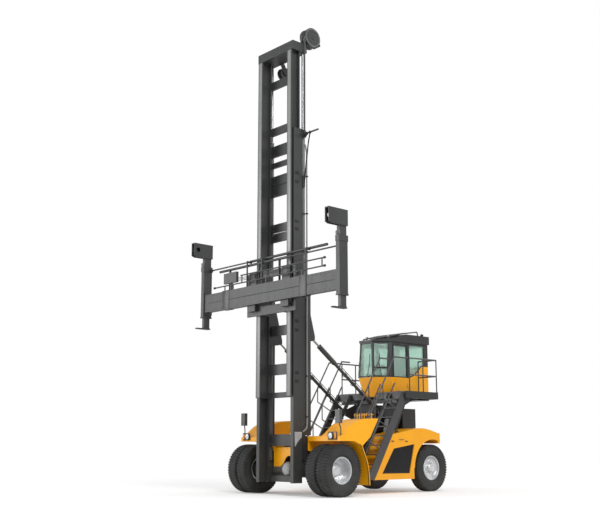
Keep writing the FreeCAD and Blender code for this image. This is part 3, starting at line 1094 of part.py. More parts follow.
def cab_frame():
    """Dark window frame of the cab with the doors' upper hinge pins."""
    return with_pins(cab_walls().cut(painted_base()), HINGE_Z[1:])


def with_pins(shape, heights):
    pins = hinge_pins(heights)
    return fuse([shape] + pins + [mirrored(pin) for pin in pins])


ROOF_OVERHANG = 40.0
ROOF_PROFILE = [(4080, CAB_ROOF_Z), (3560, 4550), (2950, 4490), (2950, CAB_TOP_Z)]


def cab_roof():
    """Roof that thickens towards the back, its front edge following the three-panel front."""
    side = CAB_HALF_WIDTH + ROOF_OVERHANG
    plan = cab_plan(CAB_TOP_Z, -ROOF_OVERHANG, side, CAB_REAR_Y + ROOF_OVERHANG)
    lid = outline_z(plan, (CAB_TOP_Z, CAB_ROOF_Z))
    rear = CAB_REAR_Y + ROOF_OVERHANG
    profile = outline_x([(rear, CAB_TOP_Z), (rear, CAB_ROOF_Z)] + ROOF_PROFILE, (-side, side))
    return lid.common(profile)


def roof_guard():
    """Two sloping rails over the roof with bars across."""
    x = 550.0
    track = [(x, 3450, 4520), (x, 3470, 4590), (x, 4080, 4735), (x, 4750, 4835), (x, 4790, CAB_ROOF_Z - 10)]
    pieces = [rail(track, 18), mirrored(rail(track, 18))]
    for y, z in ((3600.0, 4623.0), (3860.0, 4684.0), (4120.0, 4742.0), (4420.0, 4786.0), (4720.0, 4830.0)):
        pieces.append(bar((-x, y, z), (x, y, z), 14))
    return fuse(pieces).cut(cab_roof())


def cab_glass():
    """Fixed panes: windscreen, corner panes, both quarter windows and the rear window."""
    quarter = quarter_window((CAB_HALF_WIDTH - 30, CAB_HALF_WIDTH - 30 + GLASS))
    rear = block((-REAR_WINDOW_X, REAR_WINDOW_X), (CAB_REAR_Y - 30, CAB_REAR_Y - 30 + GLASS), REAR_WINDOW_Z)
    return Part.makeCompound([front_pane(PANE_DEPTH)] + corner_panes(PANE_DEPTH) + [quarter, mirrored(quarter), rear])


DOOR_X = (CAB_HALF_WIDTH - CAB_WALL, CAB_HALF_WIDTH)
DOOR_FRAME = 45.0
DOOR_HINGE_X = CAB_HALF_WIDTH + 18.0
DOOR_HINGE_Y = DOOR_REAR_Y + 6.0
HINGE_Z = (3100.0, 4150.0)
HINGE_RADIUS = 11.0
HINGE_PIN_RADIUS = 6.0
HINGE_HEIGHT = 90.0
HINGE_LUG = 30.0


def door_window(x):
    """Slab through the door's window."""
    low = CAB_SILL_Z + 30
    high = DOOR_Z[1] - DOOR_FRAME
    return block(x, (DOOR_FRONT_Y + DOOR_FRAME - 10, DOOR_REAR_Y - DOOR_FRAME), (low, high))


def door():
    """Cab door hung at its rear edge, with a window over a solid lower panel."""
    slab = outline_x(door_outline(0), DOOR_X).cut(door_window((DOOR_X[0] - 5, DOOR_X[1] + 5)))
    handle_y = DOOR_FRONT_Y + 110
    handle = rail([(DOOR_X[1] - 5, handle_y, 3170), (DOOR_X[1] + 30, handle_y, 3170),
                   (DOOR_X[1] + 30, handle_y, 3320), (DOOR_X[1] - 5, handle_y, 3320)], 9)
    pieces = [slab, handle]
    bores = []
    for z in HINGE_Z:
        top = z + HINGE_HEIGHT
        pieces.append(bar((DOOR_HINGE_X, DOOR_HINGE_Y, z), (DOOR_HINGE_X, DOOR_HINGE_Y, top), HINGE_RADIUS))
        pieces.append(block((DOOR_X[1] - 5, DOOR_HINGE_X + 3), (DOOR_REAR_Y - 35, DOOR_HINGE_Y - 8), (z, top)))
        bores.append(bar((DOOR_HINGE_X, DOOR_HINGE_Y, z - 5), (DOOR_HINGE_X, DOOR_HINGE_Y, top + 5),
                         HINGE_PIN_RADIUS + RUNNING_FIT))
    return fuse(pieces).cut(Part.makeCompound(bores))


def hinge_pins(heights):
    """Pins of one door, each on a lug that stands out of the door post under the door's knuckle."""
    pieces = []
    for z in heights:
        lug_z = (z - HINGE_LUG, z - 1)
        pieces.append(bar((DOOR_HINGE_X, DOOR_HINGE_Y, lug_z[0]), (DOOR_HINGE_X, DOOR_HINGE_Y, z + HINGE_HEIGHT),
                          HINGE_PIN_RADIUS))
        pieces.append(bar((DOOR_HINGE_X, DOOR_HINGE_Y, lug_z[0]), (DOOR_HINGE_X, DOOR_HINGE_Y, lug_z[1]),
                          HINGE_RADIUS))
        pieces.append(block((CAB_HALF_WIDTH - 5, DOOR_HINGE_X + 3), (DOOR_HINGE_Y + 3, DOOR_HINGE_Y + 40), lug_z))
    return pieces


def door_glass():
    return door_window((CAB_HALF_WIDTH - 30, CAB_HALF_WIDTH - 30 + GLASS))


SEAT_Y = 4100.0
SEAT_Z = 3420.0
CONSOLE_Y = 3390.0


def seat():
    """Driver's seat: base, cushion and back."""
    base = block((-190, 190), (SEAT_Y, SEAT_Y + 380), (CAB_FLOOR_Z + CAB_WALL, SEAT_Z - 130))
    cushion = block((-260, 260), (SEAT_Y - 60, SEAT_Y + 460), (SEAT_Z - 132, SEAT_Z))
    back = outline_x([(SEAT_Y + 340, SEAT_Z - 60), (SEAT_Y + 470, SEAT_Z - 60), (SEAT_Y + 570, SEAT_Z + 640),
                      (SEAT_Y + 460, SEAT_Z + 640)], (-250, 250))
    return fuse([base, cushion, back])


def console():
    """Dash, steering column and wheel."""
    y = CONSOLE_Y
    dash = outline_x([(y, CAB_FLOOR_Z + CAB_WALL), (y + 120, CAB_FLOOR_Z + CAB_WALL), (y + 80, 3300), (y - 40, 3480),
                      (y - 100, 3480)], (-300, 300))
    column = bar((0, y, 3380), (0, y + 260, 3640), 35)
    wheel = Part.makeTorus(200, 17, V(0, y + 265, 3645), V(0, 1, 1))
    spoke = bar((-190, y + 265, 3645), (190, y + 265, 3645), 12)
    return fuse([dash, column, wheel, spoke])


# ---- nodes

def save(name, shape):
    """Write one node, moved so that the origin is under the middle of the machine."""
    moved = shape.copy()
    moved.translate(V(0, ORIGIN_SHIFT, 0))
    solids = moved.Solids
    if not moved.isValid() or not solids:
        print("INVALID", name)
    print(name, len(solids), round(sum(solid.Volume for solid in solids) / 1e9, 4))
    moved.exportStep("parts/" + name + ".step")


def save_pair(name, shape):
    """Write a piece of the left side and its mirror image as two nodes."""
    save(name + "_left", shape)
    save(name + "_right", mirrored(shape))


def main():
    os.makedirs("parts", exist_ok=True)
    save("chassis_frame", chassis_frame())
    save("drive_axle", drive_axle())
    save("steer_axle", steer_axle())
    save("front_fenders", pair(front_fender()))
    save("rear_body", rear_body())
    save("side_grilles", side_grilles())
    save("counterweight", counterweight())
    save("engine_block", engine())
    save("engine_hood", engine_hood())
    save("radiator", radiator())
    save("headlights", pair(headlight()))
    save("mirrors", pair(mirror()))
    save("stairs", pair(stair()))
    save("platform", platform())
    save("railings", pair(railing()))
    save("cab_support", cab_support())
    save("cab_shell", cab_shell())
    save("cab_frame", cab_frame())
    save("cab_roof", cab_roof())
    save("roof_guard", roof_guard())
    save("cab_glass", cab_glass())
    save("seat", seat())
    save("console", console())
    save("outer_mast", outer_mast())
    save("lift_barrels", pair(lift_barrel()))
    save("inner_mast", inner_mast())
    save("lift_rods", pair(lift_rod()))
    save("upper_sheave", sheave(SHEAVE_X, SHEAVE_Y, SHEAVE_Z, SHEAVE_RADIUS))
    save("lower_sheave", sheave(LOWER_SHEAVE_X, LOWER_SHEAVE_Y, LOWER_SHEAVE_Z, LOWER_SHEAVE_RADIUS))
    save("carriage", carriage())
    save("spreader_beam", main_beam())
    save("extension_cylinders", extension_cylinders())
    save("telescopic_beam_left", telescopic_beam(1, BEAM_BOTTOM_Z, BEAM_MIDDLE_Z))
    save("telescopic_beam_right", telescopic_beam(-1, BEAM_MIDDLE_Z, BEAM_TOP_Z))
    save("head_leg_left", head_leg(1))
    save("head_leg_right", head_leg(-1))
    save_pair("front_tyres", drive_tyres())
    save_pair("front_rims", drive_rim())
    save_pair("rear_tyre", tyre(STEER_WHEEL_X, STEER_Y))
    save_pair("rear_rim", steer_rim())
    save_pair("knuckle", knuckle())
    save_pair("tilt_barrel", tilt_barrel())
    save_pair("tilt_rod", tilt_rod())
    save_pair("door", door())
    save_pair("door_glass", door_glass())


main()
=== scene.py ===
import bpy
import bmesh
import json
from itertools import product
from math import cos, exp, hypot, pi, radians, sin
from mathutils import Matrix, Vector


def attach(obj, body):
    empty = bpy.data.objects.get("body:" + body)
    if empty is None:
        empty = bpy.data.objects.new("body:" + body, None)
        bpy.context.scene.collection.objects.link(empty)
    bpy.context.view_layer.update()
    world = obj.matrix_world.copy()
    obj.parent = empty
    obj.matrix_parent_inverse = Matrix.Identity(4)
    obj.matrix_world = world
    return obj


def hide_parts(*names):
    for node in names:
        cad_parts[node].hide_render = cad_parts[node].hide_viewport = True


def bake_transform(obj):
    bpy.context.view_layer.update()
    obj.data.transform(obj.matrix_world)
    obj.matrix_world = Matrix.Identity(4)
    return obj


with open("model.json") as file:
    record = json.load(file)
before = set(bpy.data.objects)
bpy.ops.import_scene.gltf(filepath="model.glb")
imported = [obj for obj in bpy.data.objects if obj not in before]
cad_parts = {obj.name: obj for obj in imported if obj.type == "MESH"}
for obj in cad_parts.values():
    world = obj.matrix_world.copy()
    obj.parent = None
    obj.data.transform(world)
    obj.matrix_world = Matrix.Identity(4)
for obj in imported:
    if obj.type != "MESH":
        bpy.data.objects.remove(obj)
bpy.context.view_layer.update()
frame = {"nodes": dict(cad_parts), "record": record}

scene = bpy.context.scene
scene.view_settings.view_transform = "Standard"
nodes = frame["nodes"]

# Metres throughout, in the model's frame: +Z up, the machine faces -Y, +X is its left side.
DRIVE_Y = -1.875                 # drive axle; the pieces are drawn with y measured from it
WHEELBASE = 4.43
AXLE_Z = 0.685
TYRE_RADIUS = 0.685
TYRE_WIDTH = 0.375
BEAD_RADIUS = 0.3415
TREAD_DEPTH = 0.016
LUGS = 52
LUG_SLANT = 0.045
OUTER_TYRE_X = 1.8625
INNER_TYRE_X = 1.4575
STEER_TYRE_X = 1.1325

COLUMN_X = 0.7805                # outer face of the outer mast's columns
OUTER_TIES = ((0.35, 0.52), (1.32, 1.64), (4.41, 4.69), (7.16, 7.41), (7.45, 7.69), (8.54, 8.85),
              (8.87, 9.16), (9.43, 9.58), (9.77, 10.1))
TIE_FRONT_Y = -0.26
COLUMN_RECESSES = (3.05, 3.28, 4.45, 4.7, 5.85, 6.06, 7.31, 7.53, 8.69, 8.95)
SHEAVE_PLACE = (0.04, 13.2)     # y and z of the upper sheave's axle
SHEAVE_REACH = 0.287             # from there to the middle of a hose
STRAND_X = (0.8, 0.822, 0.844)
STRAND_RADIUS = 0.009
GUIDE_ARM_Z = 10.15
TILT_BASE = (2.78, 2.31)       # y and z of the tilt cylinders' pins
TILT_PIN = (0.124, 4.27)

BEAM_FRONT_Y = -1.0
BEAM_MIDDLE_Z = 5.535

DECK_TOP = 2.9004
RAILING_POSTS = ((1.42, 3.37), (1.42, 3.98), (1.42, 4.59), (0.71, 4.59))
SILL_Z = 3.36
CAB_FRONT = ((2.78, 0.2, 3.1), (SILL_Z, 0.3, 2.99), (4.445, 0.25, 3.03))   # z, half-width, y of the front
CORNER_SLOPE = 1.114
MULLION = 0.028
PANE_OUTER_X = 0.575
PANE_LEVELS = (3.4, 3.63, 3.665, 4.39)
DOOR_TRIM_Z = 3.368

FORWARD = (0, -1, 0)
BACKWARD = (0, 1, 0)
SIDES = (-1, 1)
MATERIALS = {}
NAMED_SIDES = (("left", 1), ("right", -1))


# ---- materials

def fill(tree, node, inputs):
    """Link or set a node's inputs."""
    for key, value in inputs.items():
        if isinstance(value, bpy.types.NodeSocket):
            tree.links.new(value, node.inputs[key])
        else:
            node.inputs[key].default_value = value


def add_node(tree, kind, inputs, **settings):
    """Node of one kind with its settings and inputs."""
    node = tree.nodes.new("ShaderNode" + kind)
    for label, value in settings.items():
        setattr(node, label, value)
    fill(tree, node, inputs)
    return node


def new_material(name):
    """A fresh material, kept by its name, and its node tree."""
    mat = bpy.data.materials.new(name)
    mat.use_nodes = True
    MATERIALS[name] = mat
    return mat, mat.node_tree


def finish_material(mat, colour, roughness, relief, depth, others):
    """Fill in the surface shader's inputs, with a fine relief if there is one, and return the material."""
    tree = mat.node_tree
    inputs = {"Base Color": colour, "Roughness": roughness, **others}
    if relief:
        bump = {"Height": relief, "Distance": depth, "Strength": 1.0}
        inputs["Normal"] = add_node(tree, "Bump", bump).outputs["Normal"]
    fill(tree, tree.nodes["Principled BSDF"], inputs)
    return mat


def coordinates(tree, scale=(1, 1, 1)):
    """Object coordinates, scaled."""
    place = add_node(tree, "TexCoord", {}).outputs["Object"]
    return add_node(tree, "Mapping", {"Scale": scale, "Vector": place}).outputs["Vector"]


def level(tree):
    """Height above the ground."""
    return add_node(tree, "SeparateXYZ", {"Vector": coordinates(tree)}).outputs["Z"]


def noise(tree, vector, scale, detail, roughness):
    """Cloudy noise round one half."""
    inputs = {"Vector": vector, "Scale": scale, "Detail": detail, "Roughness": roughness}
    return add_node(tree, "TexNoise", inputs).outputs["Fac"]


def wave(tree, vector, scale, direction):
    """Even stripes square to a direction."""
    inputs = {"Vector": vector, "Scale": scale}
    return add_node(tree, "TexWave", inputs, bands_direction=direction).outputs["Fac"]


def ramp(tree, value, dark, light, low=0.3, high=0.7):
    """Colour from dark to light as the value goes from low to high."""
    node = add_node(tree, "ValToRGB", {"Fac": value})
    for element, position, colour in zip(node.color_ramp.elements, (low, high), (dark, light)):
        element.position = position
        element.color = (*colour, 1)
    return node.outputs["Color"]


def remap(tree, value, out_low, out_high, low=0.3, high=0.7):
    """Number from out_low to out_high as the value goes from low to high."""
    inputs = {"Value": value, "From Min": low, "From Max": high, "To Min": out_low, "To Max": out_high}
    return add_node(tree, "MapRange", inputs).outputs["Result"]


def multiply(tree, a, b):
    """Product of two numbers."""
    return add_node(tree, "Math", {0: a, 1: b}, operation="MULTIPLY").outputs[0]


def mix(tree, factor, a, b):
    """Mix of two colours."""
    return add_node(tree, "Mix", {0: factor, 6: a, 7: b}, data_type="RGBA").outputs[2]


def dusty(tree, colour, top, strength, dust):
    """Colour under patchy road dust that grows towards the ground."""
    fall = remap(tree, level(tree), strength, 0.0, 0.0, top)
    spots = remap(tree, noise(tree, coordinates(tree), 3.1, 8.0, 0.7), 0.2, 1.0, 0.35, 0.7)
    return mix(tree, multiply(tree, fall, spots), colour, (*dust, 1))


def paint(name, deep, light, roughness, coat=0.0, dust_top=1.4, dust_strength=0.15, metallic=0.0):
    """Sprayed paint: colour drift, run streaks, orange peel and road dust."""
    mat, tree = new_material(name)
    vector = coordinates(tree)
    drift = ramp(tree, noise(tree, vector, 0.9, 5.0, 0.6), deep, light)
    streaks = noise(tree, coordinates(tree, (9, 9, 0.6)), 2.0, 5.0, 0.6)
    return finish_material(
        mat, dusty(tree, drift, dust_top, dust_strength, (0.2, 0.18, 0.15)),
        remap(tree, streaks, roughness - 0.04, roughness + 0.07),
        noise(tree, vector, 160.0, 2.0, 0.5), 0.00012,
        {"Metallic": metallic, "Coat Weight": coat, "Coat Roughness": 0.1})


def door_paint():
    """Yellow paint below the doors' trim and dark frame paint above it."""
    mat = YELLOW.copy()
    mat.name = "door_paint"
    tree = mat.node_tree
    shown = tree.nodes["Principled BSDF"].inputs["Base Color"]
    above = remap(tree, level(tree), 0.0, 1.0, DOOR_TRIM_Z - 0.002, DOOR_TRIM_Z + 0.002)
    cloud = noise(tree, coordinates(tree), 1.3, 4.0, 0.6)
    dark = ramp(tree, cloud, (0.02, 0.02, 0.021), (0.032, 0.032, 0.034))
    tree.links.new(mix(tree, above, shown.links[0].from_socket, dark), shown)
    return mat


def tyre_rubber():
    """Black rubber with a bloom of dust and fine moulding grain."""
    mat, tree = new_material("tyre_rubber")
    vector = coordinates(tree)
    cloud = noise(tree, vector, 5.0, 7.0, 0.65)
    colour = ramp(tree, cloud, (0.022, 0.023, 0.023), (0.046, 0.047, 0.045), 0.35, 0.75)
    return finish_material(
        mat, dusty(tree, colour, 0.9, 0.26, (0.17, 0.165, 0.15)),
        remap(tree, cloud, 0.62, 0.82), noise(tree, vector, 220.0, 3.0, 0.6), 0.0006,
        {"Specular IOR Level": 0.35})


def glass():
    """Green-tinted sheet with a faint film of dust; its pale colour on the part that is not see-through is a
    painted reflection.
    """
    mat, tree = new_material("window_glass")
    film = noise(tree, coordinates(tree), 6.0, 6.0, 0.6)
    return finish_material(
        mat, ramp(tree, film, (0.64, 0.86, 0.76), (0.74, 0.9, 0.83), 0.3, 0.8),
        remap(tree, film, 0.02, 0.09, 0.4, 0.8), None, 0.0, {"Transmission Weight": 0.72, "IOR": 1.1})


def chrome():
    """Plated rod: fine rings along its length and a thin oil film."""
    mat, tree = new_material("rod_chrome")
    rings = noise(tree, coordinates(tree, (1, 1, 60)), 8.0, 3.0, 0.5)
    oil = noise(tree, coordinates(tree), 3.0, 5.0, 0.6)
    return finish_material(
        mat, ramp(tree, oil, (0.34, 0.35, 0.36), (0.48, 0.49, 0.5), 0.3, 0.75),
        remap(tree, rings, 0.24, 0.36), rings, 0.00002, {"Metallic": 1.0})


def cast_metal(name, dark, light):
    """Rough cast or forged metal with oily dust."""
    mat, tree = new_material(name)
    vector = coordinates(tree)
    cloud = noise(tree, vector, 7.0, 8.0, 0.7)
    return finish_material(
        mat, dusty(tree, ramp(tree, cloud, dark, light), 1.3, 0.4, (0.24, 0.21, 0.17)),
        remap(tree, cloud, 0.45, 0.75), noise(tree, vector, 60.0, 5.0, 0.65), 0.0012, {})


def plastic(name, dark, light, roughness, grain_scale=180.0, grain=0.0004):
    """Moulded plastic with a fine grain."""
    mat, tree = new_material(name)
    vector = coordinates(tree)
    worn = noise(tree, vector, 9.0, 4.0, 0.5)
    return finish_material(
        mat, ramp(tree, noise(tree, vector, 4.0, 5.0, 0.6), dark, light),
        remap(tree, worn, roughness - 0.08, roughness + 0.1),
        noise(tree, vector, grain_scale, 3.0, 0.6), grain, {})


def fabric(name, dark, light):
    """Woven seat cloth: crossed threads and a soft sheen."""
    mat, tree = new_material(name)
    vector = coordinates(tree)
    weave = multiply(tree, *[wave(tree, vector, 140.0, direction) for direction in "XY"])
    return finish_material(
        mat, ramp(tree, weave, dark, light, 0.1, 0.7), 0.85, weave, 0.0008, {"Sheen Weight": 0.3})


def lamp_lens(name, deep, light, metallic=0.0):
    """Ribbed lens over a bright reflector."""
    mat, tree = new_material(name)
    ribs = wave(tree, coordinates(tree), 22.0, "X")
    return finish_material(
        mat, ramp(tree, ribs, deep, light, 0.2, 0.8), 0.12, ribs, 0.002, {"Metallic": metallic})


YELLOW = paint("yellow_paint", (0.93, 0.385, 0.0), (1.0, 0.445, 0.0), 0.34, dust_top=1.0, dust_strength=0.12)
MAST_GREY = paint("mast_paint", (0.03, 0.032, 0.031), (0.042, 0.044, 0.043), 0.44, 0.08)
# Lighter, glossier copy of the mast paint; on the lift barrels it is a painted highlight.
MAST_MIDDLE = paint("mast_middle", (0.075, 0.078, 0.077), (0.1, 0.103, 0.102), 0.34, 0.25, 1.4, 0.12)
# Lighter copy of the mast paint; on the inner columns' front strips it is a painted highlight.
MAST_LIGHT = paint("mast_light", (0.2, 0.205, 0.2), (0.27, 0.275, 0.27), 0.34, 0.2, 1.4, 0.12)
FRAME_BLACK = paint("frame_paint", (0.018, 0.018, 0.019), (0.03, 0.03, 0.031), 0.38, 0.15)
RAIL_GREY = paint("rail_paint", (0.045, 0.046, 0.048), (0.066, 0.067, 0.069), 0.38, 0.15)
RIM_SILVER = paint("rim_silver", (0.66, 0.67, 0.68), (0.8, 0.81, 0.82), 0.3, 0.2, 1.2, 0.12, metallic=0.65)
RUBBER = tyre_rubber()
SEAL_RUBBER = plastic("seal_rubber", (0.012, 0.012, 0.012), (0.022, 0.022, 0.022), 0.7, 90.0, 0.0003)
HOSE_RUBBER = plastic("hose_rubber", (0.014, 0.014, 0.015), (0.026, 0.026, 0.027), 0.55, 240.0, 0.0005)
glass()
chrome()
STEEL = cast_metal("bolt_steel", (0.085, 0.087, 0.088), (0.16, 0.162, 0.165))
CAST_LIGHT = cast_metal("cast_light", (0.3, 0.31, 0.31), (0.46, 0.47, 0.48))
cast_metal("axle_paint", (0.035, 0.034, 0.033), (0.085, 0.082, 0.078))
MESH_BLACK = paint("grille_mesh", (0.01, 0.01, 0.011), (0.018, 0.018, 0.02), 0.55, dust_strength=0.1)
CONSOLE = plastic("console_plastic", (0.03, 0.03, 0.032), (0.055, 0.055, 0.058), 0.6)
SCREEN = plastic("screen_glass", (0.012, 0.014, 0.018), (0.02, 0.024, 0.03), 0.12, 20.0, 0.00005)
SEAT_CLOTH = fabric("seat_fabric", (0.018, 0.018, 0.022), (0.05, 0.05, 0.058))
LAMP = lamp_lens("lamp_clear", (0.62, 0.64, 0.66), (0.88, 0.89, 0.9), 0.35)
AMBER = lamp_lens("lamp_amber", (0.75, 0.22, 0.01), (0.9, 0.36, 0.02))
RED_LENS = lamp_lens("lamp_red", (0.45, 0.012, 0.01), (0.62, 0.025, 0.018))
DOOR_PAINT = door_paint()

# Most materials are called after their slot; these nodes and materials differ. The lift barrels' lighter
# mast paint is a painted highlight.
OWN_MATERIALS = {"door_left": DOOR_PAINT, "door_right": DOOR_PAINT, "lift_barrels": MAST_MIDDLE}
SLOTS = {material: name for name, material in MATERIALS.items()}
SLOTS.update(dict.fromkeys((STEEL, MAST_LIGHT, CAST_LIGHT), "mast_paint"))
SLOTS.update(dict.fromkeys((MAST_MIDDLE, SEAL_RUBBER, HOSE_RUBBER), "frame_paint"))
SLOTS.update({SCREEN: "console_plastic", AMBER: "lamp_clear", RED_LENS: "lamp_clear"})


def dress_frame():
    """Give every CAD node the material of its slot."""
    for part in frame["record"]["subparts"]:
        node = nodes[part["node"]]
        node.data.materials.clear()
        node.data.materials.append(OWN_MATERIALS.get(part["node"], MATERIALS[part["material_slot"]]))


# ---- mesh helpers

def loose_piece(name, form, material, crease=0.6):
    """Object made from a bmesh; edges sharper than crease stay sharp."""
    bmesh.ops.recalc_face_normals(form, faces=form.faces)
    bmesh.ops.translate(form, verts=form.verts, vec=(0, DRIVE_Y, 0))
    mesh = bpy.data.meshes.new(name)
    form.to_mesh(mesh)
    form.free()
    mesh.materials.append(material)
    mesh.shade_smooth()
    mesh.set_sharp_from_angle(angle=crease)
    obj = bpy.data.objects.new(name, mesh)
    scene.collection.objects.link(obj)
    return obj


def piece(name, form, material, body="chassis", crease=0.6, replaces=None):
    """Object that moves with a body, in place of a CAD node if one is named."""
    obj = loose_piece(name, form, material, crease)
    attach(obj, body)
    if replaces:
        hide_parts(replaces)
    return obj


def edges_of(items):
    """Edges of the faces among the items."""
    return list({edge for item in items if isinstance(item, bmesh.types.BMFace) for edge in item.edges})


def add_box(form, x, y, z, bevel=0.0):
    """Box between the two values of each range, its edges bevelled."""
    verts = [form.verts.new(corner) for corner in product(x, y, z)]
    made = bmesh.ops.convex_hull(form, input=verts)
    flat = bmesh.ops.dissolve_limit(form, angle_limit=0.02, verts=verts, edges=edges_of(made["geom"]))
    if bevel:
        edges = edges_of(flat["region"])
        bmesh.ops.bevel(form, geom=edges, offset=bevel, segments=2, profile=0.6, affect="EDGES")


def add_side_boxes(form, x, y, z, bevel=0.0):
    """The same box on the machine's left and right."""
    for side in SIDES:
        add_box(form, sorted((side * x[0], side * x[1])), y, z, bevel)


def add_plate(form, corners, depth):
    """Flat plate with the given outline and thickness."""
    near = [form.verts.new(corner) for corner in corners]
    far = [form.verts.new(Vector(corner) + Vector(depth)) for corner in corners]
    add_skin(form, [near, far], capped=True)


def frame_of(axis):
    """An axis as a unit vector, and two directions square to it."""
    along = Vector(axis).normalized()
    start = Vector((0, 0, 1)) if abs(along.z) < 0.9 else Vector((1, 0, 0))
    across = along.cross(start).normalized()
    return along, across, along.cross(across)


def round_places(count, radius, start=0.0):
    """Places (a, b) spaced evenly round a circle; start is in spaces."""
    angles = [2 * pi * (i + start) / count for i in range(count)]
    return [(radius * cos(angle), radius * sin(angle)) for angle in angles]


def add_ring(form, middle, across, up, radius, steps):
    """Corners round a circle, or its middle alone where the radius is nothing."""
    places = round_places(steps, radius) if radius else [(0, 0)]
    return [form.verts.new(middle + across * a + up * b) for a, b in places]


def add_skin(form, rings, closed=False, capped=False):
    """Faces from each ring of corners to the next; a ring of one corner is a tip."""
    for first, second in zip(rings, rings[1:] + (rings[:1] if closed else [])):
        count = max(len(first), len(second))
        for i in range(count):
            k = (i + 1) % count
            if len(first) == 1:
                form.faces.new((first[0], second[i], second[k]))
            elif len(second) == 1:
                form.faces.new((first[i], first[k], second[0]))
            else:
                form.faces.new((first[i], first[k], second[k], second[i]))
    if capped:
        form.faces.new(rings[0])
        form.faces.new(rings[-1])


def add_lathe(form, profile, centre, axis=(1, 0, 0), steps=48, closed=False):
    """Solid of revolution: profile of (distance along the axis, radius) round the centre."""
    along, across, up = frame_of(axis)
    rings = [add_ring(form, Vector(centre) + along * distance, across, up, radius, steps)
             for distance, radius in profile]
    add_skin(form, rings, closed)


def add_rod(form, start, end, radius, steps=16, chamfer=0.0):
    """Round bar with chamfered ends."""
    length = (Vector(end) - Vector(start)).length
    cut = min(chamfer, radius * 0.9, length * 0.45)
    profile = [(0, radius - cut), (cut, radius), (length - cut, radius), (length, radius - cut)]
    if not cut:
        profile = [(0, radius), (length, radius)]
    add_lathe(form, [(0, 0), *profile, (length, 0)], start, Vector(end) - Vector(start), steps)


def add_fastener(form, turned, place, axis, height, size):
    """Turned forms as (steps, profile), the profile in shares of the height and size."""
    for steps, profile in turned:
        add_lathe(form, [(height * a, size * b) for a, b in profile], place, axis, steps)


NUT = (
    (14, ((0, 0), (0, 0.72), (0.15, 0.72), (0.15, 0))),
    (6, ((0, 0.58), (0.9, 0.58), (1, 0.48), (1, 0))),
    (10, ((0.9, 0.3), (1.3, 0.3), (1.35, 0.24), (1.35, 0))))
BOLT = (
    (12, ((0, 0), (0, 0.75), (0.12, 0.75), (0.12, 0))),
    (6, ((0, 0.55), (0.45, 0.55), (0.52, 0.46), (0.52, 0))))


def add_bolt(form, place, axis, size):
    """Hexagon bolt head on a washer."""
    add_fastener(form, BOLT, place, axis, size, size)


def add_bolts(form, x, y, z, size, axis=FORWARD):
    """Bolts at every combination of the given x, y and z."""
    for place in product(x, y, z):
        add_bolt(form, place, axis, size)


def add_side_bolts(form, x, y, z, size):
    """Bolts out of both sides of the machine at every combination of y and z."""
    for side in SIDES:
        add_bolts(form, (side * x,), y, z, size, (side, 0, 0))


def smooth_path(points, steps=6):
    """Points on a smooth curve through the given ones."""
    points = [Vector(point) for point in points]
    ends = [points[0] * 2 - points[1], *points, points[-1] * 2 - points[-2]]
    path = []
    for a, b, c, d in zip(ends, ends[1:], ends[2:], ends[3:]):
        for i in range(steps):
            t = i / steps
            path.append(0.5 * (2 * b + (c - a) * t + (2 * a - 5 * b + 4 * c - d) * t ** 2
                               + (3 * b - a - 3 * c + d) * t ** 3))
    return [*path, points[-1]]


def add_pipe(form, path, radius, steps=10):
    """Round section swept along a path, its ends closed."""
    path = [Vector(point) for point in path]
    _, across, _ = frame_of(path[1] - path[0])
    rings = []
    for i, point in enumerate(path):
        along = (path[min(i + 1, len(path) - 1)] - path[max(i - 1, 0)]).normalized()
        across = (across - along * across.dot(along)).normalized()
        rings.append(add_ring(form, point, across, along.cross(across), radius, steps))
    add_skin(form, rings, capped=True)


# ---- tyres and wheels

def tyre_profile():
    """Half of the carcass from the tread down to the bead: (across, radius)."""
    crown = TYRE_RADIUS - TREAD_DEPTH
    tread = ((0, 0), (0.35, 0), (0.72, 0.006), (0.86, 0.028), (0.93, 0.062), (0.975, 0.119),
             (0.98933333, 0.159), (1, 0.184), (0.985, 0.219))
    bead = ((0.95, 0.085), (0.955, 0.078), (0.9, 0.055), (0.76, 0.026), (0.7, 0.016), (0.62, 0.014),
            (0.6, 0))
    half = [(share, crown - fall) for share, fall in tread]
    half += [(share, BEAD_RADIUS + rise) for share, rise in bead]
    return [(share * TYRE_WIDTH / 2, radius) for share, radius in half]


def add_lug(form, centre, angle, side):
    """Tread block from the middle of the tread over the shoulder."""
    stations = [(0.06, 0.0, 0.0), (0.42, 0.0005, 0.5), (0.8, 0.004, 0.9), (0.885, 0.014, 1.0),
                (0.945, 0.052, 1.0), (0.972, 0.092, 1.0)]
    rows = []
    for share, fall, run in stations:
        across = share * TYRE_WIDTH / 2
        top = TYRE_RADIUS - fall
        base = top - TREAD_DEPTH - 0.012
        width = (0.3 + 0.28 * run) * 2 * pi / LUGS
        inner = across - (0.012 if run == 1.0 else 0.0)
        row = []
        corners = ((top, across, -0.5), (top, across, 0.5), (base, inner, 0.56), (base, inner, -0.56))
        for radius, out, edge in corners:
            turn = angle + LUG_SLANT * run + edge * width
            place = (side * out, radius * sin(turn), radius * cos(turn))
            row.append(form.verts.new(Vector(centre) + Vector(place)))
        rows.append(row)
    add_skin(form, rows, capped=True)


def add_tyre(form, x, y):
    """Tyre with sidewall ribs and two staggered rows of tread blocks."""
    half = tyre_profile()
    ring = half + [(-across, radius) for across, radius in reversed(half[1:])]
    centre = (x, y, AXLE_Z)
    add_lathe(form, ring, centre, steps=120, closed=True)
    low, high = 0.988 * TYRE_WIDTH / 2, TYRE_WIDTH / 2 - 0.0005
    for side, start in zip(SIDES, (0.0, 0.5)):
        for i in range(LUGS):
            add_lug(form, centre, 2 * pi * (i + start) / LUGS, side)
        rib = [(side * out, TYRE_RADIUS - fall) for out, fall in ((low, 0.168), (high, 0.172), (low, 0.176))]
        add_lathe(form, rib, centre, steps=120, closed=True)


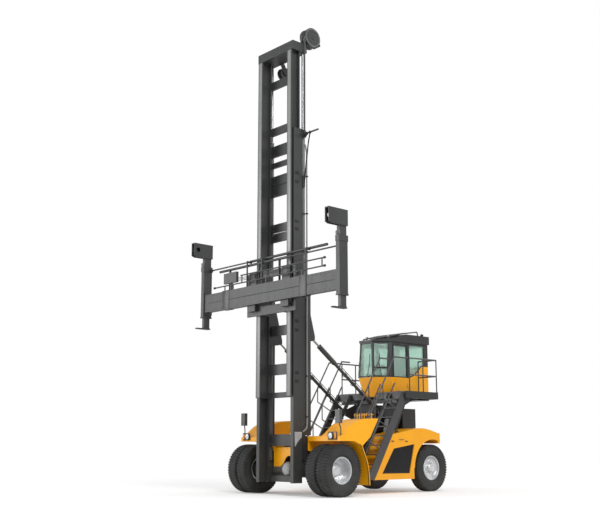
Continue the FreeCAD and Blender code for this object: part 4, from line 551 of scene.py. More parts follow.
def make_tyres():
    """Treaded tyres: a pair on each front wheel, one on each rear wheel."""
    for name, sign in NAMED_SIDES:
        form = bmesh.new()
        add_tyre(form, sign * OUTER_TYRE_X, 0.0)
        add_tyre(form, sign * INNER_TYRE_X, 0.0)
        piece(f"front_tyre_treads_{name}", form, RUBBER, f"front_wheel_{name}",
              replaces=f"front_tyres_{name}")
        form = bmesh.new()
        add_tyre(form, sign * STEER_TYRE_X, WHEELBASE)
        piece(f"rear_tyre_tread_{name}", form, RUBBER, f"rear_wheel_{name}", replaces=f"rear_tyre_{name}")


def add_wheel_end(form, sign, y, face_x, flange_x, nuts, hub):
    """Outside of a wheel: nuts as (count, radius), hub bolts as (x, count, radius)."""
    axis = (sign, 0, 0)
    for dy, dz in round_places(*nuts):
        add_fastener(form, NUT, (sign * face_x, y + dy, AXLE_Z + dz), axis, 0.022, 0.018)
    hub_x, count, radius = hub
    for dy, dz in round_places(count, radius, 0.5):
        add_bolt(form, (sign * hub_x, y + dy, AXLE_Z + dz), axis, 0.014)
    add_bolt(form, (sign * (hub_x + 0.004), y, AXLE_Z), axis, 0.03)
    for across, radius, thick in ((0.0, 0.3465, 0.01), (-0.004, 0.3315, 0.006)):
        lip = [(across + a, radius + b) for a, b in round_places(8, thick)]
        add_lathe(form, lip, (sign * flange_x, y, AXLE_Z), axis, 72, closed=True)
    root, tip = [(sign * (flange_x - back), y + 0.02, AXLE_Z + up)
                 for back, up in ((0.075, 0.312), (0.012, 0.308))]
    add_rod(form, root, tip, 0.0075, 10, 0.002)


def make_wheel_fittings():
    """Wheel nuts, hub bolts, rounded flange lips, raised rings and valves."""
    for name, sign in NAMED_SIDES:
        axis = (sign, 0, 0)
        form = bmesh.new()
        add_wheel_end(form, sign, 0.0, 1.675, 1.9925, nuts=(24, 0.262), hub=(1.8125, 12, 0.092))
        ring = [(0.0, 0.196), (0.014, 0.196), (0.022, 0.188), (0.0, 0.186)]
        add_lathe(form, ring, (sign * 1.69, 0, AXLE_Z), axis, 48, closed=True)
        piece(f"front_wheel_fittings_{name}", form, RIM_SILVER, f"front_wheel_{name}")
        form = bmesh.new()
        disc_x = 1.1875
        add_wheel_end(form, sign, WHEELBASE, disc_x, 1.2628, nuts=(20, 0.212), hub=(1.299, 10, 0.088))
        for step, radius in ((0.004, 0.3), (0.01, 0.262)):
            edge = ((0, 0.012), (step, 0.01), (step + 0.006, 0), (step, -0.01), (0, -0.012))
            ring = [(out, radius + wide) for out, wide in edge]
            add_lathe(form, ring, (sign * disc_x, WHEELBASE, AXLE_Z), axis, 64, closed=True)
        piece(f"rear_wheel_fittings_{name}", form, RIM_SILVER, f"rear_wheel_{name}")


# ---- cab

def cab_front(z):
    """Half-width and y of the cab's front panel at a height."""
    for (z0, x0, y0), (z1, x1, y1) in zip(CAB_FRONT, CAB_FRONT[1:]):
        if z <= z1:
            break
    share = (z - z0) / (z1 - z0)
    return x0 + (x1 - x0) * share, y0 + (y1 - y0) * share


def front_place(x, z, side, lift=0.0):
    """Place on the cab's front panels, lifted out of their face."""
    middle, y = cab_front(z)
    if x <= middle:
        return (side * x, y - lift, z)
    slant = hypot(1, CORNER_SLOPE)
    return (side * (x + lift * CORNER_SLOPE / slant), y + (x - middle) * CORNER_SLOPE - lift / slant, z)


def pane_edges():
    """Corners of the fixed front panes, each as a closed loop of points."""
    low, bar_low, bar_high, high = PANE_LEVELS
    yield [front_place(cab_front(z)[0] - MULLION, z, side)
           for z, side in ((low, -1), (low, 1), (high, 1), (high, -1))]
    for side in SIDES:
        for bottom, top in ((low, bar_low), (bar_high, high)):
            yield [front_place(PANE_OUTER_X if outer else cab_front(z)[0] + MULLION, z, side)
                   for z, outer in ((bottom, 0), (bottom, 1), (top, 1), (top, 0))]


def add_seal(form, loop, radius=0.009):
    """Round rubber bead along a closed loop."""
    path = [Vector(point) for point in loop]
    add_pipe(form, [*path, path[0], path[0] + (path[1] - path[0]) * 0.02], radius, 8)


def make_window_seals():
    """Rubber seals round all the panes."""
    form = bmesh.new()
    for loop in pane_edges():
        add_seal(form, loop)
    top = 4.385
    sill = ((4.24, 3.4), (4.4, 3.453), (4.56, 3.548), (4.7, 3.663), (4.82, 3.778))
    for side in SIDES:
        x = side * 0.65
        corners = [(x, 4.92, 3.778), (x, 4.92, top), (x, 4.24, top)]
        add_seal(form, smooth_path([(x, y, z) for y, z in sill], 4) + corners)
    add_seal(form, [(x, 5.118, z) for x, z in ((-0.53, 3.79), (0.53, 3.79), (0.53, 4.38), (-0.53, 4.38))])
    piece("window_seals", form, SEAL_RUBBER)
    door = ((3.535, 3.39), (4.11, 3.39), (4.11, 4.335), (3.535, 4.335))
    for name, sign in NAMED_SIDES:
        form = bmesh.new()
        add_seal(form, [(sign * 0.651, y, z) for y, z in door], 0.01)
        piece(f"door_seal_{name}", form, SEAL_RUBBER, f"door_{name}")


def make_wipers():
    """Wiper arm and blade on the front panel and on both corner panels."""
    form = bmesh.new()
    for side, foot_x, tip_x in ((1, 0.1, 0.17), (1, 0.47, 0.4), (-1, 0.47, 0.4)):
        root = front_place(foot_x, 3.385, side, 0.012)
        add_rod(form, root, front_place(foot_x, 3.385, side, 0.034), 0.016, 14, 0.003)
        elbow = front_place(foot_x, 3.42, side, 0.03)
        add_pipe(form, [root, elbow, front_place(tip_x, 3.86, side, 0.02)], 0.006, 8)
        blade_x = tip_x + (foot_x - tip_x) * 0.15
        add_pipe(form, [front_place(blade_x, z, side, 0.012) for z in (3.68, 3.87, 4.06)], 0.008, 6)
    piece("wipers", form, FRAME_BLACK)


def make_work_lights():
    """Round work lights on brackets at the roof's corners."""
    body = bmesh.new()
    lens = bmesh.new()
    radius = 0.045
    housing = ((-0.065, 0), (-0.065, 0.5), (-0.04875, 0.85), (-0.006, 1), (0.01, 1), (0.01, 0.88), (0, 0.86),
               (0, 0))
    cover = ((0.001, 0), (0.001, 0.85), (0.004, 0.85), (0.01, 0.5), (0.012, 0))
    for x, y, z, aim_x, aim_y in ((0.46, 3.52, 4.625, 0.25, -0.95), (0.5, 5.06, 4.75, 0.2, 0.95)):
        for side, (form, profile) in product(SIDES, ((body, housing), (lens, cover))):
            add_lathe(form, [(along, radius * share) for along, share in profile], (side * x, y, z),
                      (side * aim_x, aim_y, -0.25), 28)
        add_side_boxes(body, (x - 0.012, x + 0.012), (y - 0.02, y + 0.02), (z - 0.13, z - 0.03))
    piece("work_light_bodies", body, FRAME_BLACK)
    piece("work_light_lenses", lens, LAMP)


def make_headlights():
    """Headlamps in black housings with a round lamp and an amber side lamp."""
    shell = bmesh.new()
    lens = bmesh.new()
    add_side_boxes(shell, (1.65, 1.98), (-0.173, -0.149), (1.479, 1.691), 0.01)
    for side in SIDES:
        centre = (side * 1.755, -0.17, 1.585)
        add_lathe(shell, [(0, 0), (0, 0.093), (0.034, 0.093), (0.036, 0.084), (0.022, 0.08), (0.018, 0)],
                  centre, FORWARD, 40)
        add_lathe(lens, [(0.018, 0), (0.018, 0.079), (0.026, 0.076), (0.034, 0.045), (0.035, 0)],
                  centre, FORWARD, 40)
    piece("headlight_housings", shell, FRAME_BLACK, replaces="headlights")
    piece("headlight_lenses", lens, LAMP)
    form = bmesh.new()
    add_side_boxes(form, (1.89, 1.96), (-0.1855, -0.172), (1.51, 1.66), 0.006)
    piece("side_lamps", form, AMBER)


def make_tail_lamps():
    """Red and amber rear lamps in black frames."""
    form = bmesh.new()
    add_side_boxes(form, (0.6, 0.88), (5.112, 5.128), (1.5, 1.62), 0.006)
    piece("tail_lamp_frames", form, FRAME_BLACK)
    halves = (("red", RED_LENS, ((0.612, 0.734), (-0.868, -0.746))),
              ("amber", AMBER, ((0.746, 0.868), (-0.734, -0.612))))
    for name, material, places in halves:
        form = bmesh.new()
        for x in places:
            add_box(form, x, (5.125, 5.134), (1.512, 1.608), 0.004)
        piece(f"tail_lamp_{name}", form, material)


def crossings(outline, value, axis):
    """Where a line of constant y (axis 0) or z (axis 1) meets the outline."""
    found = []
    for a, b in zip(outline, outline[1:] + outline[:1]):
        if (a[axis] - value) * (b[axis] - value) < 0:
            t = (value - a[axis]) / (b[axis] - a[axis])
            found.append(a[1 - axis] + (b[1 - axis] - a[1 - axis]) * t)
    return sorted(found)


def make_grille_wires():
    """Crossing wires in a frame over both side grilles."""
    form = bmesh.new()
    outline = ((2.24, 0.58), (3.362, 0.572), (3.578, 1.347), (2.722, 1.22))
    pitch = 0.0305
    for side in SIDES:
        add_pipe(form, [(side * 1.324, y, z) for y, z in outline + outline[:1]], 0.01, 6)
        for axis, start, count, x in ((0, 2.24, 44, 1.324), (1, 0.572, 26, 1.32)):
            for value in [start + pitch * i for i in range(1, count)]:
                wire = [(end, value) if axis else (value, end) for end in crossings(outline, value, axis)]
                if len(wire) == 2:
                    add_pipe(form, [(side * x, y, z) for y, z in wire], 0.0035, 5)
    piece("grille_wires", form, MESH_BLACK)


def make_bonnet():
    """Rounded bonnet over the engine with louvres in its sides."""
    form = bmesh.new()
    half, low, top = 0.428, 1.76, 2.538
    rounding = ((0.0, 0.26), (0.03, 0.15), (0.1, 0.06), (0.2, 0.01))
    edge = [(-half + inset, top - fall) for inset, fall in rounding]
    ring = [(-half, low), *edge, (0, top), *[(-x, z) for x, z in reversed(edge)], (half, low)]
    rows = []
    for y, share in ((2.905, 0.955), (2.93, 0.985), (3.0, 1.0), (3.5, 1.0), (3.57, 0.985), (3.595, 0.955)):
        rows.append([form.verts.new((x * share, y, low + (z - low) * share)) for x, z in ring])
    add_skin(form, rows, capped=True)
    for i in range(9):
        y = 3.02 + i * 0.055
        add_side_boxes(form, (half, half + 0.012), (y, y + 0.02), (1.98, 2.2), 0.003)
    piece("bonnet", form, FRAME_BLACK, crease=0.9, replaces="engine_hood")


# ---- masts

def make_mast_fittings():
    """Plates on the mast's feet, and the bolts of both masts."""
    covers = ((-0.312, 1.62), (-0.14, 1.58), (-0.05, 1.4), (-0.02, 1.15), (-0.02, 0.95), (-0.312, 0.95))
    plates = ((-0.59, 1.69), (-0.33, 1.69), (-0.33, 1.55), (-0.4, 1.5), (-0.5, 1.4), (-0.575, 1.29))
    screws = ((-0.56, 1.65), (-0.46, 1.65), (-0.36, 1.65), (-0.56, 1.38), (-0.36, 1.57))
    both = (("covers", FRAME_BLACK, covers, ()), ("plates", CAST_LIGHT, plates, screws))
    for name, material, outline, bolts in both:
        form = bmesh.new()
        for side in SIDES:
            add_plate(form, [(side * COLUMN_X, y, z) for y, z in outline], (side * 0.008, 0, 0))
        for y, z in bolts:
            add_side_bolts(form, COLUMN_X + 0.008, (y,), (z,), 0.018)
        piece("mast_foot_" + name, form, material, "mast_outer")
    form = bmesh.new()
    for low, high in OUTER_TIES:
        rows = (low + 0.045, high - 0.045) if high - low > 0.2 else ((low + high) / 2,)
        add_bolts(form, (-0.56, -0.5, 0.5, 0.56), (TIE_FRONT_Y,), rows, 0.02)
    add_side_bolts(form, 0.782, (-0.455, -0.295), (1.9, 5.6, 8.3, 10.16), 0.022)
    piece("outer_mast_bolts", form, STEEL, "mast_outer")
    form = bmesh.new()
    add_bolts(form, (-0.7, -0.62, -0.2, 0.2, 0.62, 0.7), (-0.68,), (12.74, 12.89), 0.024)
    piece("inner_mast_bolts", form, STEEL, "mast_inner")


def make_column_plates():
    """Lighter strips on the inner columns' front faces as painted highlight, and near-black pin plates on
    the outer columns as painted shade.
    """
    form = bmesh.new()
    # Lighter mast paint on the inner columns' front faces: a painted highlight.
    add_side_boxes(form, (0.59, 0.72), (-0.703, -0.6995), (2.66, 12.66), 0.0008)
    piece("inner_highlight_strips", form, MAST_LIGHT, "mast_inner")
    form = bmesh.new()
    # Near-black plates at the recesses: painted shade under the rib stubs.
    for z in COLUMN_RECESSES:
        add_side_boxes(form, (0.779, 0.7885), (-0.565, -0.435), (z - 0.042, z + 0.042), 0.002)
        add_side_bolts(form, 0.788, (-0.548, -0.452), (z,), 0.012)
    piece("column_shade_pads", form, SEAL_RUBBER, "mast_outer")


def make_supply_pipe():
    """Supply pipe clamped behind the left column."""
    form = bmesh.new()
    x, y = 0.803, -0.15
    foot = smooth_path([(x, -0.31, 1.7), (x, -0.24, 1.74), (x, y - 0.01, 1.84), (x, y, 2.2)])
    add_pipe(form, foot + [(x, y, 9.6), (x - 0.004, y - 0.03, 9.76), (x - 0.01, y - 0.05, 9.85)], 0.024, 12)
    piece("lift_supply_pipe", form, MAST_LIGHT, "mast_outer")
    form = bmesh.new()
    for z in (2.1, 3.2, 5.6, 6.7, 7.8, 8.9):
        add_box(form, (0.77, 0.835), (-0.18, -0.118), (z - 0.02, z + 0.02), 0.005)
        add_bolt(form, (0.802, -0.118, z), BACKWARD, 0.014)
        add_box(form, (0.74, 0.775), (-0.31, -0.16), (z - 0.012, z + 0.012), 0.003)
    piece("pipe_clamps", form, MAST_GREY, "mast_outer")


def make_sheave_hoses():
    """Taut hoses from the guide arm up over the upper sheave to a clamp behind it."""
    y, z = SHEAVE_PLACE
    foot = GUIDE_ARM_Z + 0.02
    lower = bmesh.new()
    upper = bmesh.new()
    for x in STRAND_X:
        straight = [(x, y - SHEAVE_REACH, foot + (z - foot) * i / 24) for i in range(25)]
        add_pipe(lower, straight, STRAND_RADIUS, 8)
        over = [(x, y - dy, z + dz) for dy, dz in round_places(32, SHEAVE_REACH)[:17]]
        add_pipe(upper, [*over, (x, y + SHEAVE_REACH, z - 0.16)], STRAND_RADIUS, 8)
    piece("sheave_hose_loops", upper, HOSE_RUBBER, "mast_inner")
    run = loose_piece("sheave_hose_run", lower, MAST_MIDDLE)
    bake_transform(run)
    clamp = bmesh.new()
    add_box(clamp, (0.785, 0.86), (-0.285, -0.22), (GUIDE_ARM_Z - 0.035, GUIDE_ARM_Z + 0.035), 0.006)
    add_bolts(clamp, (0.8, 0.845), (-0.285,), (GUIDE_ARM_Z,), 0.014)
    piece("guide_arm_clamp", clamp, MAST_GREY, "mast_outer")
    holder = bmesh.new()
    back = y + SHEAVE_REACH
    add_box(holder, (0.6, 0.868), (back - 0.024, back + 0.02), (z - 0.19, z - 0.13), 0.005)
    arm = ((-0.04, -0.05), (0.05, 0.03), (SHEAVE_REACH + 0.02, -0.13), (SHEAVE_REACH + 0.02, -0.19),
           (SHEAVE_REACH - 0.05, -0.19))
    add_plate(holder, [(0.6, y + a, z + b) for a, b in arm], (0.01, 0, 0))
    piece("sheave_hose_clamp", holder, MAST_GREY, "mast_inner")


def make_sheave_rims():
    """Raised rims and bolts on both faces of the two hose sheaves."""
    sheaves = (("upper", (0.62, 0.87), SHEAVE_PLACE, 0.3), ("lower", (-0.52, -0.36), (0.04, 12.45), 0.19))
    for name, faces, (y, z), radius in sheaves:
        rim = [(0, radius * 0.8), (0.01, radius * 0.82), (0.01, radius * 0.95), (0, radius * 0.97)]
        form = bmesh.new()
        for face, sign in zip(faces, SIDES):
            for dy, dz in round_places(8, radius * 0.45):
                add_bolt(form, (face, y + dy, z + dz), (sign, 0, 0), 0.018)
            add_lathe(form, rim, (face, y, z), (sign, 0, 0), closed=True)
        piece(f"{name}_sheave_fittings", form, STEEL, f"{name}_sheave")


def make_guide_arm():
    """Bracket, hose guides and brace of the guide arm on the outer mast."""
    form = bmesh.new()
    add_box(form, (COLUMN_X, 0.8), (-0.33, -0.17), (10.06, 10.285), 0.004)
    add_box(form, (0.8, 0.87), (-0.222, -0.195), (10.085, 10.215), 0.004)
    add_box(form, (0.9, 0.935), (-0.29, -0.21), (10.11, 10.19), 0.005)
    add_box(form, (1.04, 1.075), (-0.285, -0.215), (10.115, 10.185), 0.005)
    add_bolts(form, (0.8,), (-0.3, -0.2), (10.09, 10.255), 0.018, (1, 0, 0))
    piece("guide_arm_bracket", form, FRAME_BLACK, "mast_outer")
    form = bmesh.new()
    brace = ((1.075, 10.125), (1.025, 10.125), (0.96, 9.86), (0.812, 8.9), (COLUMN_X, 8.86),
             (COLUMN_X, 8.62), (0.84, 8.74), (1.0, 9.84))
    add_plate(form, [(x, -0.254, z) for x, z in brace], (0, 0.01, 0))
    add_box(form, (COLUMN_X, 0.792), (-0.3, -0.2), (8.58, 8.92), 0.003)
    add_bolts(form, (0.792,), (-0.285, -0.215), (8.62, 8.88), 0.016, (1, 0, 0))
    piece("guide_arm_brace", form, MAST_GREY, "mast_outer")


def make_tilt_pipes():
    """Steel pipe and clips along each tilt barrel."""
    ahead = (Vector((0, *TILT_PIN)) - Vector((0, *TILT_BASE))).normalized()
    up = Vector((0, ahead.z, -ahead.y))
    clip = [(-0.015, 0.072), (0.015, 0.072), (0.015, 0.078), (-0.015, 0.078)]
    for name, sign in NAMED_SIDES:
        foot = Vector((sign * 0.7, *TILT_BASE))
        form = bmesh.new()
        run = ((0.25, 0.085), (0.4, 0.093), (1.9, 0.093), (2.0, 0.075))
        add_pipe(form, [foot + ahead * along + up * rise for along, rise in run], 0.01, 8)
        for along in (0.5, 0.9, 1.3, 1.7):
            add_lathe(form, clip, foot + ahead * along, ahead, 28, closed=True)
        piece(f"tilt_pipe_{name}", form, MAST_GREY, f"tilt_barrel_{name}")


# ---- spreader

def make_spreader_bolts():
    """Bolt rows on the spreader's beam, the sliding beams and their end plates."""
    front = (BEAM_FRONT_Y,)
    form = bmesh.new()
    add_bolts(form, [-1.9 + 0.2 * i for i in range(18)], front, (5.3,), 0.016)
    add_bolts(form, (-1.93, 1.65), front, [5.33 + 0.1 * i for i in range(5)], 0.02)
    piece("spreader_bolts", form, STEEL, "spreader")
    for (name, sign), inner_x, count in zip(NAMED_SIDES, (1.78, 2.06), (6, 5)):
        form = bmesh.new()
        add_bolts(form, [sign * (inner_x + 0.16 * i) for i in range(count)], front, (5.32, 5.75), 0.016)
        add_bolts(form, (sign * 3.02,), (-0.99, -0.9, -0.81), (6.54, 6.62), 0.018, (sign, 0, 0))
        piece(f"end_beam_bolts_{name}", form, STEEL, f"beam_{name}")


def make_beam_seams():
    """Dark seams along the three beams, and bolted plates where they meet."""
    seam_z = (BEAM_MIDDLE_Z - 0.009, BEAM_MIDDLE_Z + 0.009)
    form = bmesh.new()
    add_box(form, (-1.655, 1.415), (-1.0008, -0.9925), seam_z)
    piece("beam_seam", form, SEAL_RUBBER, "spreader")
    form = bmesh.new()
    for low, high in ((-1.975, -1.665), (1.425, 1.695)):
        add_box(form, (low, high), (-1.0095, -1.007), (5.265, 5.805), 0.001)
        add_bolts(form, (low + 0.03, high - 0.03), (-1.0095,), (5.31, 5.53, 5.76), 0.016)
    piece("collar_plates", form, FRAME_BLACK, "spreader")
    for name, ends in (("left", (1.715, 2.7)), ("right", (-2.7, -1.995))):
        form = bmesh.new()
        add_box(form, ends, (-0.9928, -0.984), seam_z)
        piece("beam_seam_" + name, form, SEAL_RUBBER, "beam_" + name)


def make_valve_pipes():
    """Steel pipes and clamps from the valve box along the spreader's beam."""
    form = bmesh.new()
    for z in (6.06, 6.1, 6.14):
        run = [(-1.36, -0.93, z), (-1.23, -0.93, z), (-1.1, -0.882, z), (-0.6, -0.882, z)]
        add_pipe(form, smooth_path(run), 0.009, 8)
    piece("valve_pipes", form, STEEL, "spreader")
    form = bmesh.new()
    clamps = (-0.82, -0.63)
    for x in clamps:
        add_box(form, (x - 0.015, x + 0.015), (-0.896, -0.8648), (6.035, 6.165), 0.003)
    add_bolts(form, clamps, (-0.896,), (6.048, 6.152), 0.01)
    piece("valve_pipe_clamps", form, MAST_GREY, "spreader")


def make_head_details():
    """Bolts and a sensor on each head post."""
    for name, sign in NAMED_SIDES:
        form = bmesh.new()
        x = sign * 2.955
        add_bolts(form, (sign * 3.018,), (-1.38, -0.76), (7.06, 7.27), 0.02, (sign, 0, 0))
        add_box(form, (x - 0.05, x + 0.05), (-1.06, -0.98), (6.7, 6.8), 0.008)
        add_rod(form, (x, -0.98, 6.75), (x, -0.955, 6.75), 0.02, 14, 0.004)
        piece(f"head_fittings_{name}", form, STEEL, f"head_{name}")


# ---- driver's place

def add_pad(form, centre, across, along, size, channels):
    """Pad, thick in the middle and thin at its pulled-in edges, with sewn channels."""
    across, along = Vector(across).normalized(), Vector(along).normalized()
    up = across.cross(along)
    width, length, thickness = size
    count = 26
    steps = [-1 + 2 * i / count for i in range(count + 1)]
    top, bottom = [], []
    for u in steps:
        top_row, bottom_row = [], []
        for v in steps:
            full = max((1 - abs(u) ** 5) * (1 - abs(v) ** 5), 0.0) ** 0.33
            sewn = sum(exp(-((v - channel) / 0.05) ** 2) for channel in channels)
            plan = (Vector(centre) + across * (width / 2 * u * (1 - 0.05 * v * v))
                    + along * (length / 2 * v * (1 - 0.05 * u * u)))
            crown = thickness / 2 * full * (0.8 + 0.2 * (1 - u * u) * (1 - v * v)) - 0.012 * sewn * full
            top_row.append(form.verts.new(plan + up * crown))
            bottom_row.append(form.verts.new(plan - up * (thickness / 2 * full * 0.9)))
        top.append(top_row)
        bottom.append(bottom_row)
    for rows in (top, bottom):
        for i, j in product(range(count), repeat=2):
            form.faces.new((rows[i][j], rows[i + 1][j], rows[i + 1][j + 1], rows[i][j + 1]))
    bmesh.ops.remove_doubles(form, verts=form.verts, dist=0.0004)


def make_seat():
    """Seat: sewn cushion, back and head rest on a base with bellows."""
    back_up = (0, 0.1, 0.7)
    pads = (("seat_cushion", (0, 4.295, 3.352), 1, (0, 1, 0), (0.515, 0.5, 0.128), (-0.35, 0.1, 0.5), 0.7),
            ("seat_back", (0, 4.538, 3.63), -1, back_up, (0.495, 0.52, 0.118), (-0.5, -0.1, 0.3), 0.7),
            ("head_rest", (0, 4.59, 3.965), -1, back_up, (0.29, 0.17, 0.105), (), 0.8))
    for name, centre, across, along, size, channels, filling in pads:
        form = bmesh.new()
        add_pad(form, centre, (across, 0, 0), along, size, channels)
        piece(name, form, SEAT_CLOTH, crease=1.2, replaces="seat")
    form = bmesh.new()
    for i in range(9):
        inset = 0.014 if i % 2 else 0.0
        low = 2.952 + 0.03 * i
        across, along = (-0.185 + inset, 0.185 - inset), (4.105 + inset, 4.475 - inset)
        add_box(form, across, along, (low, low + 0.03), 0.006)
    add_box(form, (-0.2, 0.2), (4.09, 4.49), (3.222, 3.29), 0.01)
    for x in (-0.06, 0.06):
        add_rod(form, (x, 4.573, 3.86), (x, 4.59, 3.93), 0.006, 8)
    add_box(form, (-0.19, 0.19), (4.53, 4.62), (3.36, 3.42), 0.01)
    piece("seat_base", form, CONSOLE, replaces="seat")


def make_controls():
    """Screen, switch panel, levers and pedals round the driver."""
    form = bmesh.new()
    add_box(form, (0.34, 0.37), (3.66, 3.88), (3.55, 3.72), 0.008)
    add_box(form, (0.31, 0.42), (3.9, 4.45), (3.3, 3.42), 0.02)
    add_box(form, (0.33, 0.4), (4.0, 4.35), (2.951, 3.31), 0.015)
    add_rod(form, (0.355, 3.8, 3.3), (0.355, 3.78, 3.56), 0.014, 12, 0.002)
    knob = [(-0.016, 0), (-0.012, 0.014), (0.0, 0.019), (0.014, 0.015), (0.02, 0)]
    for i in range(3):
        x, y = 0.345 + 0.022 * i, 3.96 + 0.05 * i
        add_rod(form, (x, y, 3.41), (x, y - 0.015, 3.5), 0.006, 8)
        add_lathe(form, knob, (x, y - 0.016, 3.51), (0, -0.1, 1), 16)
    for x in (-0.12, 0.12):
        add_box(form, (x - 0.045, x + 0.045), (3.52, 3.55), (2.98, 3.1), 0.006)
        add_rod(form, (x, 3.52, 3.05), (x, 3.4, 3.08), 0.01, 8)
    piece("controls", form, CONSOLE)
    form = bmesh.new()
    add_box(form, (0.3385, 0.3415), (3.675, 3.865), (3.565, 3.705), 0.001)
    piece("screen", form, SCREEN)


# ---- chassis and walkways

def make_front_apron():
    """Yellow apron in front of the drive axle, and its domed cover."""
    form = bmesh.new()
    y = -0.16
    outline = ((-0.575, 1.292), (-0.575, 0.76), (-0.26, 0.76), (-0.215, 0.79), (-0.05, 1.01), (0.02, 1.05),
               (0.5, 1.06), (0.5, 1.292))
    add_plate(form, [(x, y, z) for x, z in outline], (0, 0.01, 0))
    add_box(form, (-0.575, 0.5), (y, y + 0.012), (1.282, 1.292), 0.002)
    add_bolts(form, (-0.5, -0.25, 0.0, 0.25, 0.45), (y,), (1.25,), 0.02)
    piece("front_apron", form, YELLOW)
    form = bmesh.new()
    dome = [(-0.05, 0.19), (0.02, 0.188), (0.035, 0.176), (0.052, 0.168), (0.08, 0.135), (0.096, 0.085),
            (0.102, 0)]
    add_lathe(form, dome, (0, -0.15, AXLE_Z), FORWARD)
    for x, dz in round_places(14, 0.176):
        add_bolt(form, (x, -0.172, AXLE_Z + dz), FORWARD, 0.014)
    piece("differential_cover", form, CAST_LIGHT)


def make_deck_fittings():
    """Bolted feet of the railing posts, and gratings on both walkways."""
    form = bmesh.new()
    for x, y in RAILING_POSTS:
        add_side_boxes(form, (x - 0.028, x + 0.028), (y - 0.028, y + 0.028), (2.9005, 2.912), 0.002)
        bolts = [sign * (x + dx) for sign in SIDES for dx in (-0.018, 0.018)]
        add_bolts(form, bolts, (y - 0.018, y + 0.018), (2.912,), 0.008, (0, 0, 1))
    piece("post_feet", form, RAIL_GREY)
    form = bmesh.new()
    for i in range(37):
        y = 3.2 + 0.038 * i
        add_side_boxes(form, (0.68, 1.4), (y, y + 0.004), (DECK_TOP, 2.909))
    for low in (-1.4, 0.68):
        for i in range(13):
            x = low + 0.06 * i
            add_box(form, (x, x + 0.005), (3.19, 4.58), (DECK_TOP, 2.912))
    piece("deck_gratings", form, RAIL_GREY)


def make_body_trim():
    """Fuel cap, hinges, handles and the rubber edges of the mudguards."""
    form = bmesh.new()
    cap = [(0, 0.062), (0.02, 0.062), (0.026, 0.056), (0.045, 0.052), (0.05, 0.046), (0.05, 0)]
    add_lathe(form, cap, (1.16, 3.05, 1.712), (0, -0.17, 0.98), 24)
    for y in (2.66, 3.25):
        add_side_boxes(form, (1.349, 1.362), (y - 0.05, y + 0.05), (1.44, 1.47), 0.004)
    handle = ((1.345, 2.95, 1.5), (1.385, 2.96, 1.5), (1.385, 3.1, 1.51), (1.345, 3.11, 1.51))
    for side in SIDES:
        add_pipe(form, smooth_path([(side * x, y, z) for x, y, z in handle], 5), 0.008, 8)
    piece("body_trim", form, FRAME_BLACK)
    form = bmesh.new()
    edge = ((0.59, 1.35), (0.64, 1.322), (0.715, 1.15), (0.8, 0.98), (0.875, 0.716), (0.913, 0.286))
    for side, x in product(SIDES, (2.081, 1.262)):
        add_pipe(form, smooth_path([(side * x, y, z) for y, z in edge], 5), 0.01, 6)
    piece("mudguard_edges", form, SEAL_RUBBER)


def make_roof_slats():
    """Anti-slip slats across the two sloping rails over the cab's roof."""
    form = bmesh.new()
    track = ((3.47, 4.59), (4.08, 4.735), (4.75, 4.825))
    for (y0, z0), (y1, z1) in zip(track, track[1:]):
        count = round((y1 - y0) / 0.075)
        for i in range(count):
            share = (i + 0.5) / count
            y, z = y0 + (y1 - y0) * share, z0 + (z1 - z0) * share
            add_box(form, (-0.55, 0.55), (y - 0.014, y + 0.014), (z + 0.002, z + 0.022), 0.003)
    piece("roof_slats", form, RAIL_GREY)


def make_bonnet_guard():
    """Upright yellow slats on two rails in front of the engine bonnet."""
    form = bmesh.new()
    for i in range(8):
        x = -0.35 + 0.1 * i
        add_box(form, (x - 0.022, x + 0.022), (2.842, 2.856), (1.98, 2.285), 0.004)
    for z in (2.0, 2.22):
        add_box(form, (-0.4, 0.4), (2.856, 2.9), (z, z + 0.03), 0.004)
    piece("bonnet_guard", form, YELLOW)


# ---- stage

def add_aimed(name, data, place, ahead):
    """Camera or light at a place that looks along a direction."""
    obj = bpy.data.objects.new(name, data)
    obj.location = place
    obj.rotation_euler = ahead.to_track_quat("-Z", "Y").to_euler()
    scene.collection.objects.link(obj)
    return obj


def make_camera():
    """Camera at eye height, looking up a little at the machine's front left."""
    data = bpy.data.cameras.new("camera")
    data.sensor_width = 36.0
    data.lens = 55.86
    data.clip_end = 200.0
    azimuth = radians(48.18)
    pitch = radians(11.36)
    level_part = cos(pitch)
    ahead = Vector((-sin(azimuth) * level_part, cos(azimuth) * level_part, sin(pitch)))
    scene.camera = add_aimed("camera", data, (19.8366, -19.3155, 1.2763), ahead)


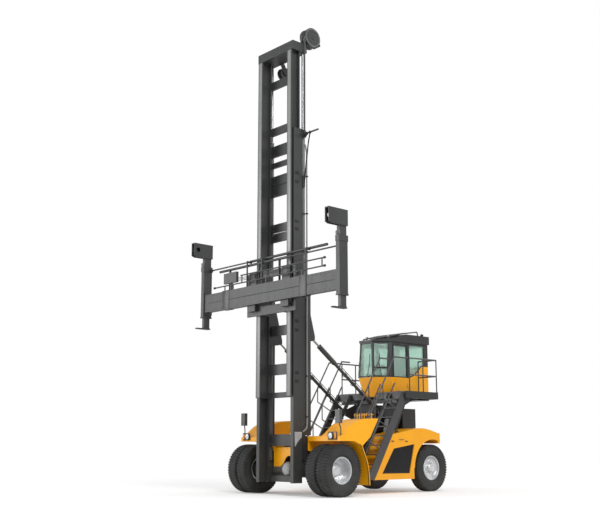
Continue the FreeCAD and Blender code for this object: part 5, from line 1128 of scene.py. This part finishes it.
def make_lights():
    """Round lights that each face a height over the origin."""
    lights = (("front", (-16, -22, 9), 5, 16.0, 2800), ("key", (20, -10, 20), 4, 12.0, 3600),
              ("back", (6, 22, 16), 5, 12.0, 1500))
    for name, place, target_z, size, power in lights:
        data = bpy.data.lights.new(name, "AREA")
        data.shape = "DISK"
        data.size = size
        data.energy = power
        add_aimed(name, data, place, Vector((0, 0, target_z)) - Vector(place))


def background_rays(tree):
    """1 for the rays that see the plain backdrop."""
    path = add_node(tree, "LightPath", {}).outputs
    kinds = {0: path["Is Camera Ray"], 1: path["Is Transmission Ray"]}
    return add_node(tree, "Math", kinds, operation="MAXIMUM").outputs[0]


def make_world():
    """Even studio surround; plain white where it is looked at."""
    world = bpy.data.worlds.new("studio")
    world.use_nodes = True
    tree = world.node_tree
    strength = remap(tree, background_rays(tree), 0.55, 1.0, 0.0, 1.0)
    fill(tree, tree.nodes["Background"], {"Color": (1, 1, 1, 1), "Strength": strength})
    scene.world = world


def make_floor():
    """Pale floor that glows towards its far edge, to meet the backdrop."""
    half = 90.0
    mesh = bpy.data.meshes.new("floor")
    corners = [(-half, -half, 0), (half, -half, 0), (half, half, 0), (-half, half, 0)]
    mesh.from_pydata(corners, [], [(0, 1, 2, 3)])
    floor = bpy.data.objects.new("floor", mesh)
    scene.collection.objects.link(floor)
    mat, tree = new_material("floor")
    place = add_node(tree, "NewGeometry", {}).outputs["Position"]
    distance = add_node(tree, "VectorMath", {0: place}, operation="LENGTH").outputs["Value"]
    glow = remap(tree, distance, 0.2, 0.52, 7.0, 26.0)
    mesh.materials.append(finish_material(mat, (0.86, 0.86, 0.86, 1), 0.9, None, 0.0, {
        "Specular IOR Level": 0.0, "Emission Color": (1, 1, 1, 1),
        "Emission Strength": multiply(tree, glow, background_rays(tree))}))


dress_frame()
make_tyres()
make_wheel_fittings()
make_window_seals()
make_wipers()
make_work_lights()
make_headlights()
make_tail_lamps()
make_grille_wires()
make_bonnet()
make_mast_fittings()
make_column_plates()
make_supply_pipe()
make_sheave_hoses()
make_sheave_rims()
make_guide_arm()
make_tilt_pipes()
make_spreader_bolts()
make_beam_seams()
make_valve_pipes()
make_head_details()
make_seat()
make_controls()
make_front_apron()
make_deck_fittings()
make_body_trim()
make_roof_slats()
make_bonnet_guard()
make_camera()
make_world()
make_floor()
make_lights()
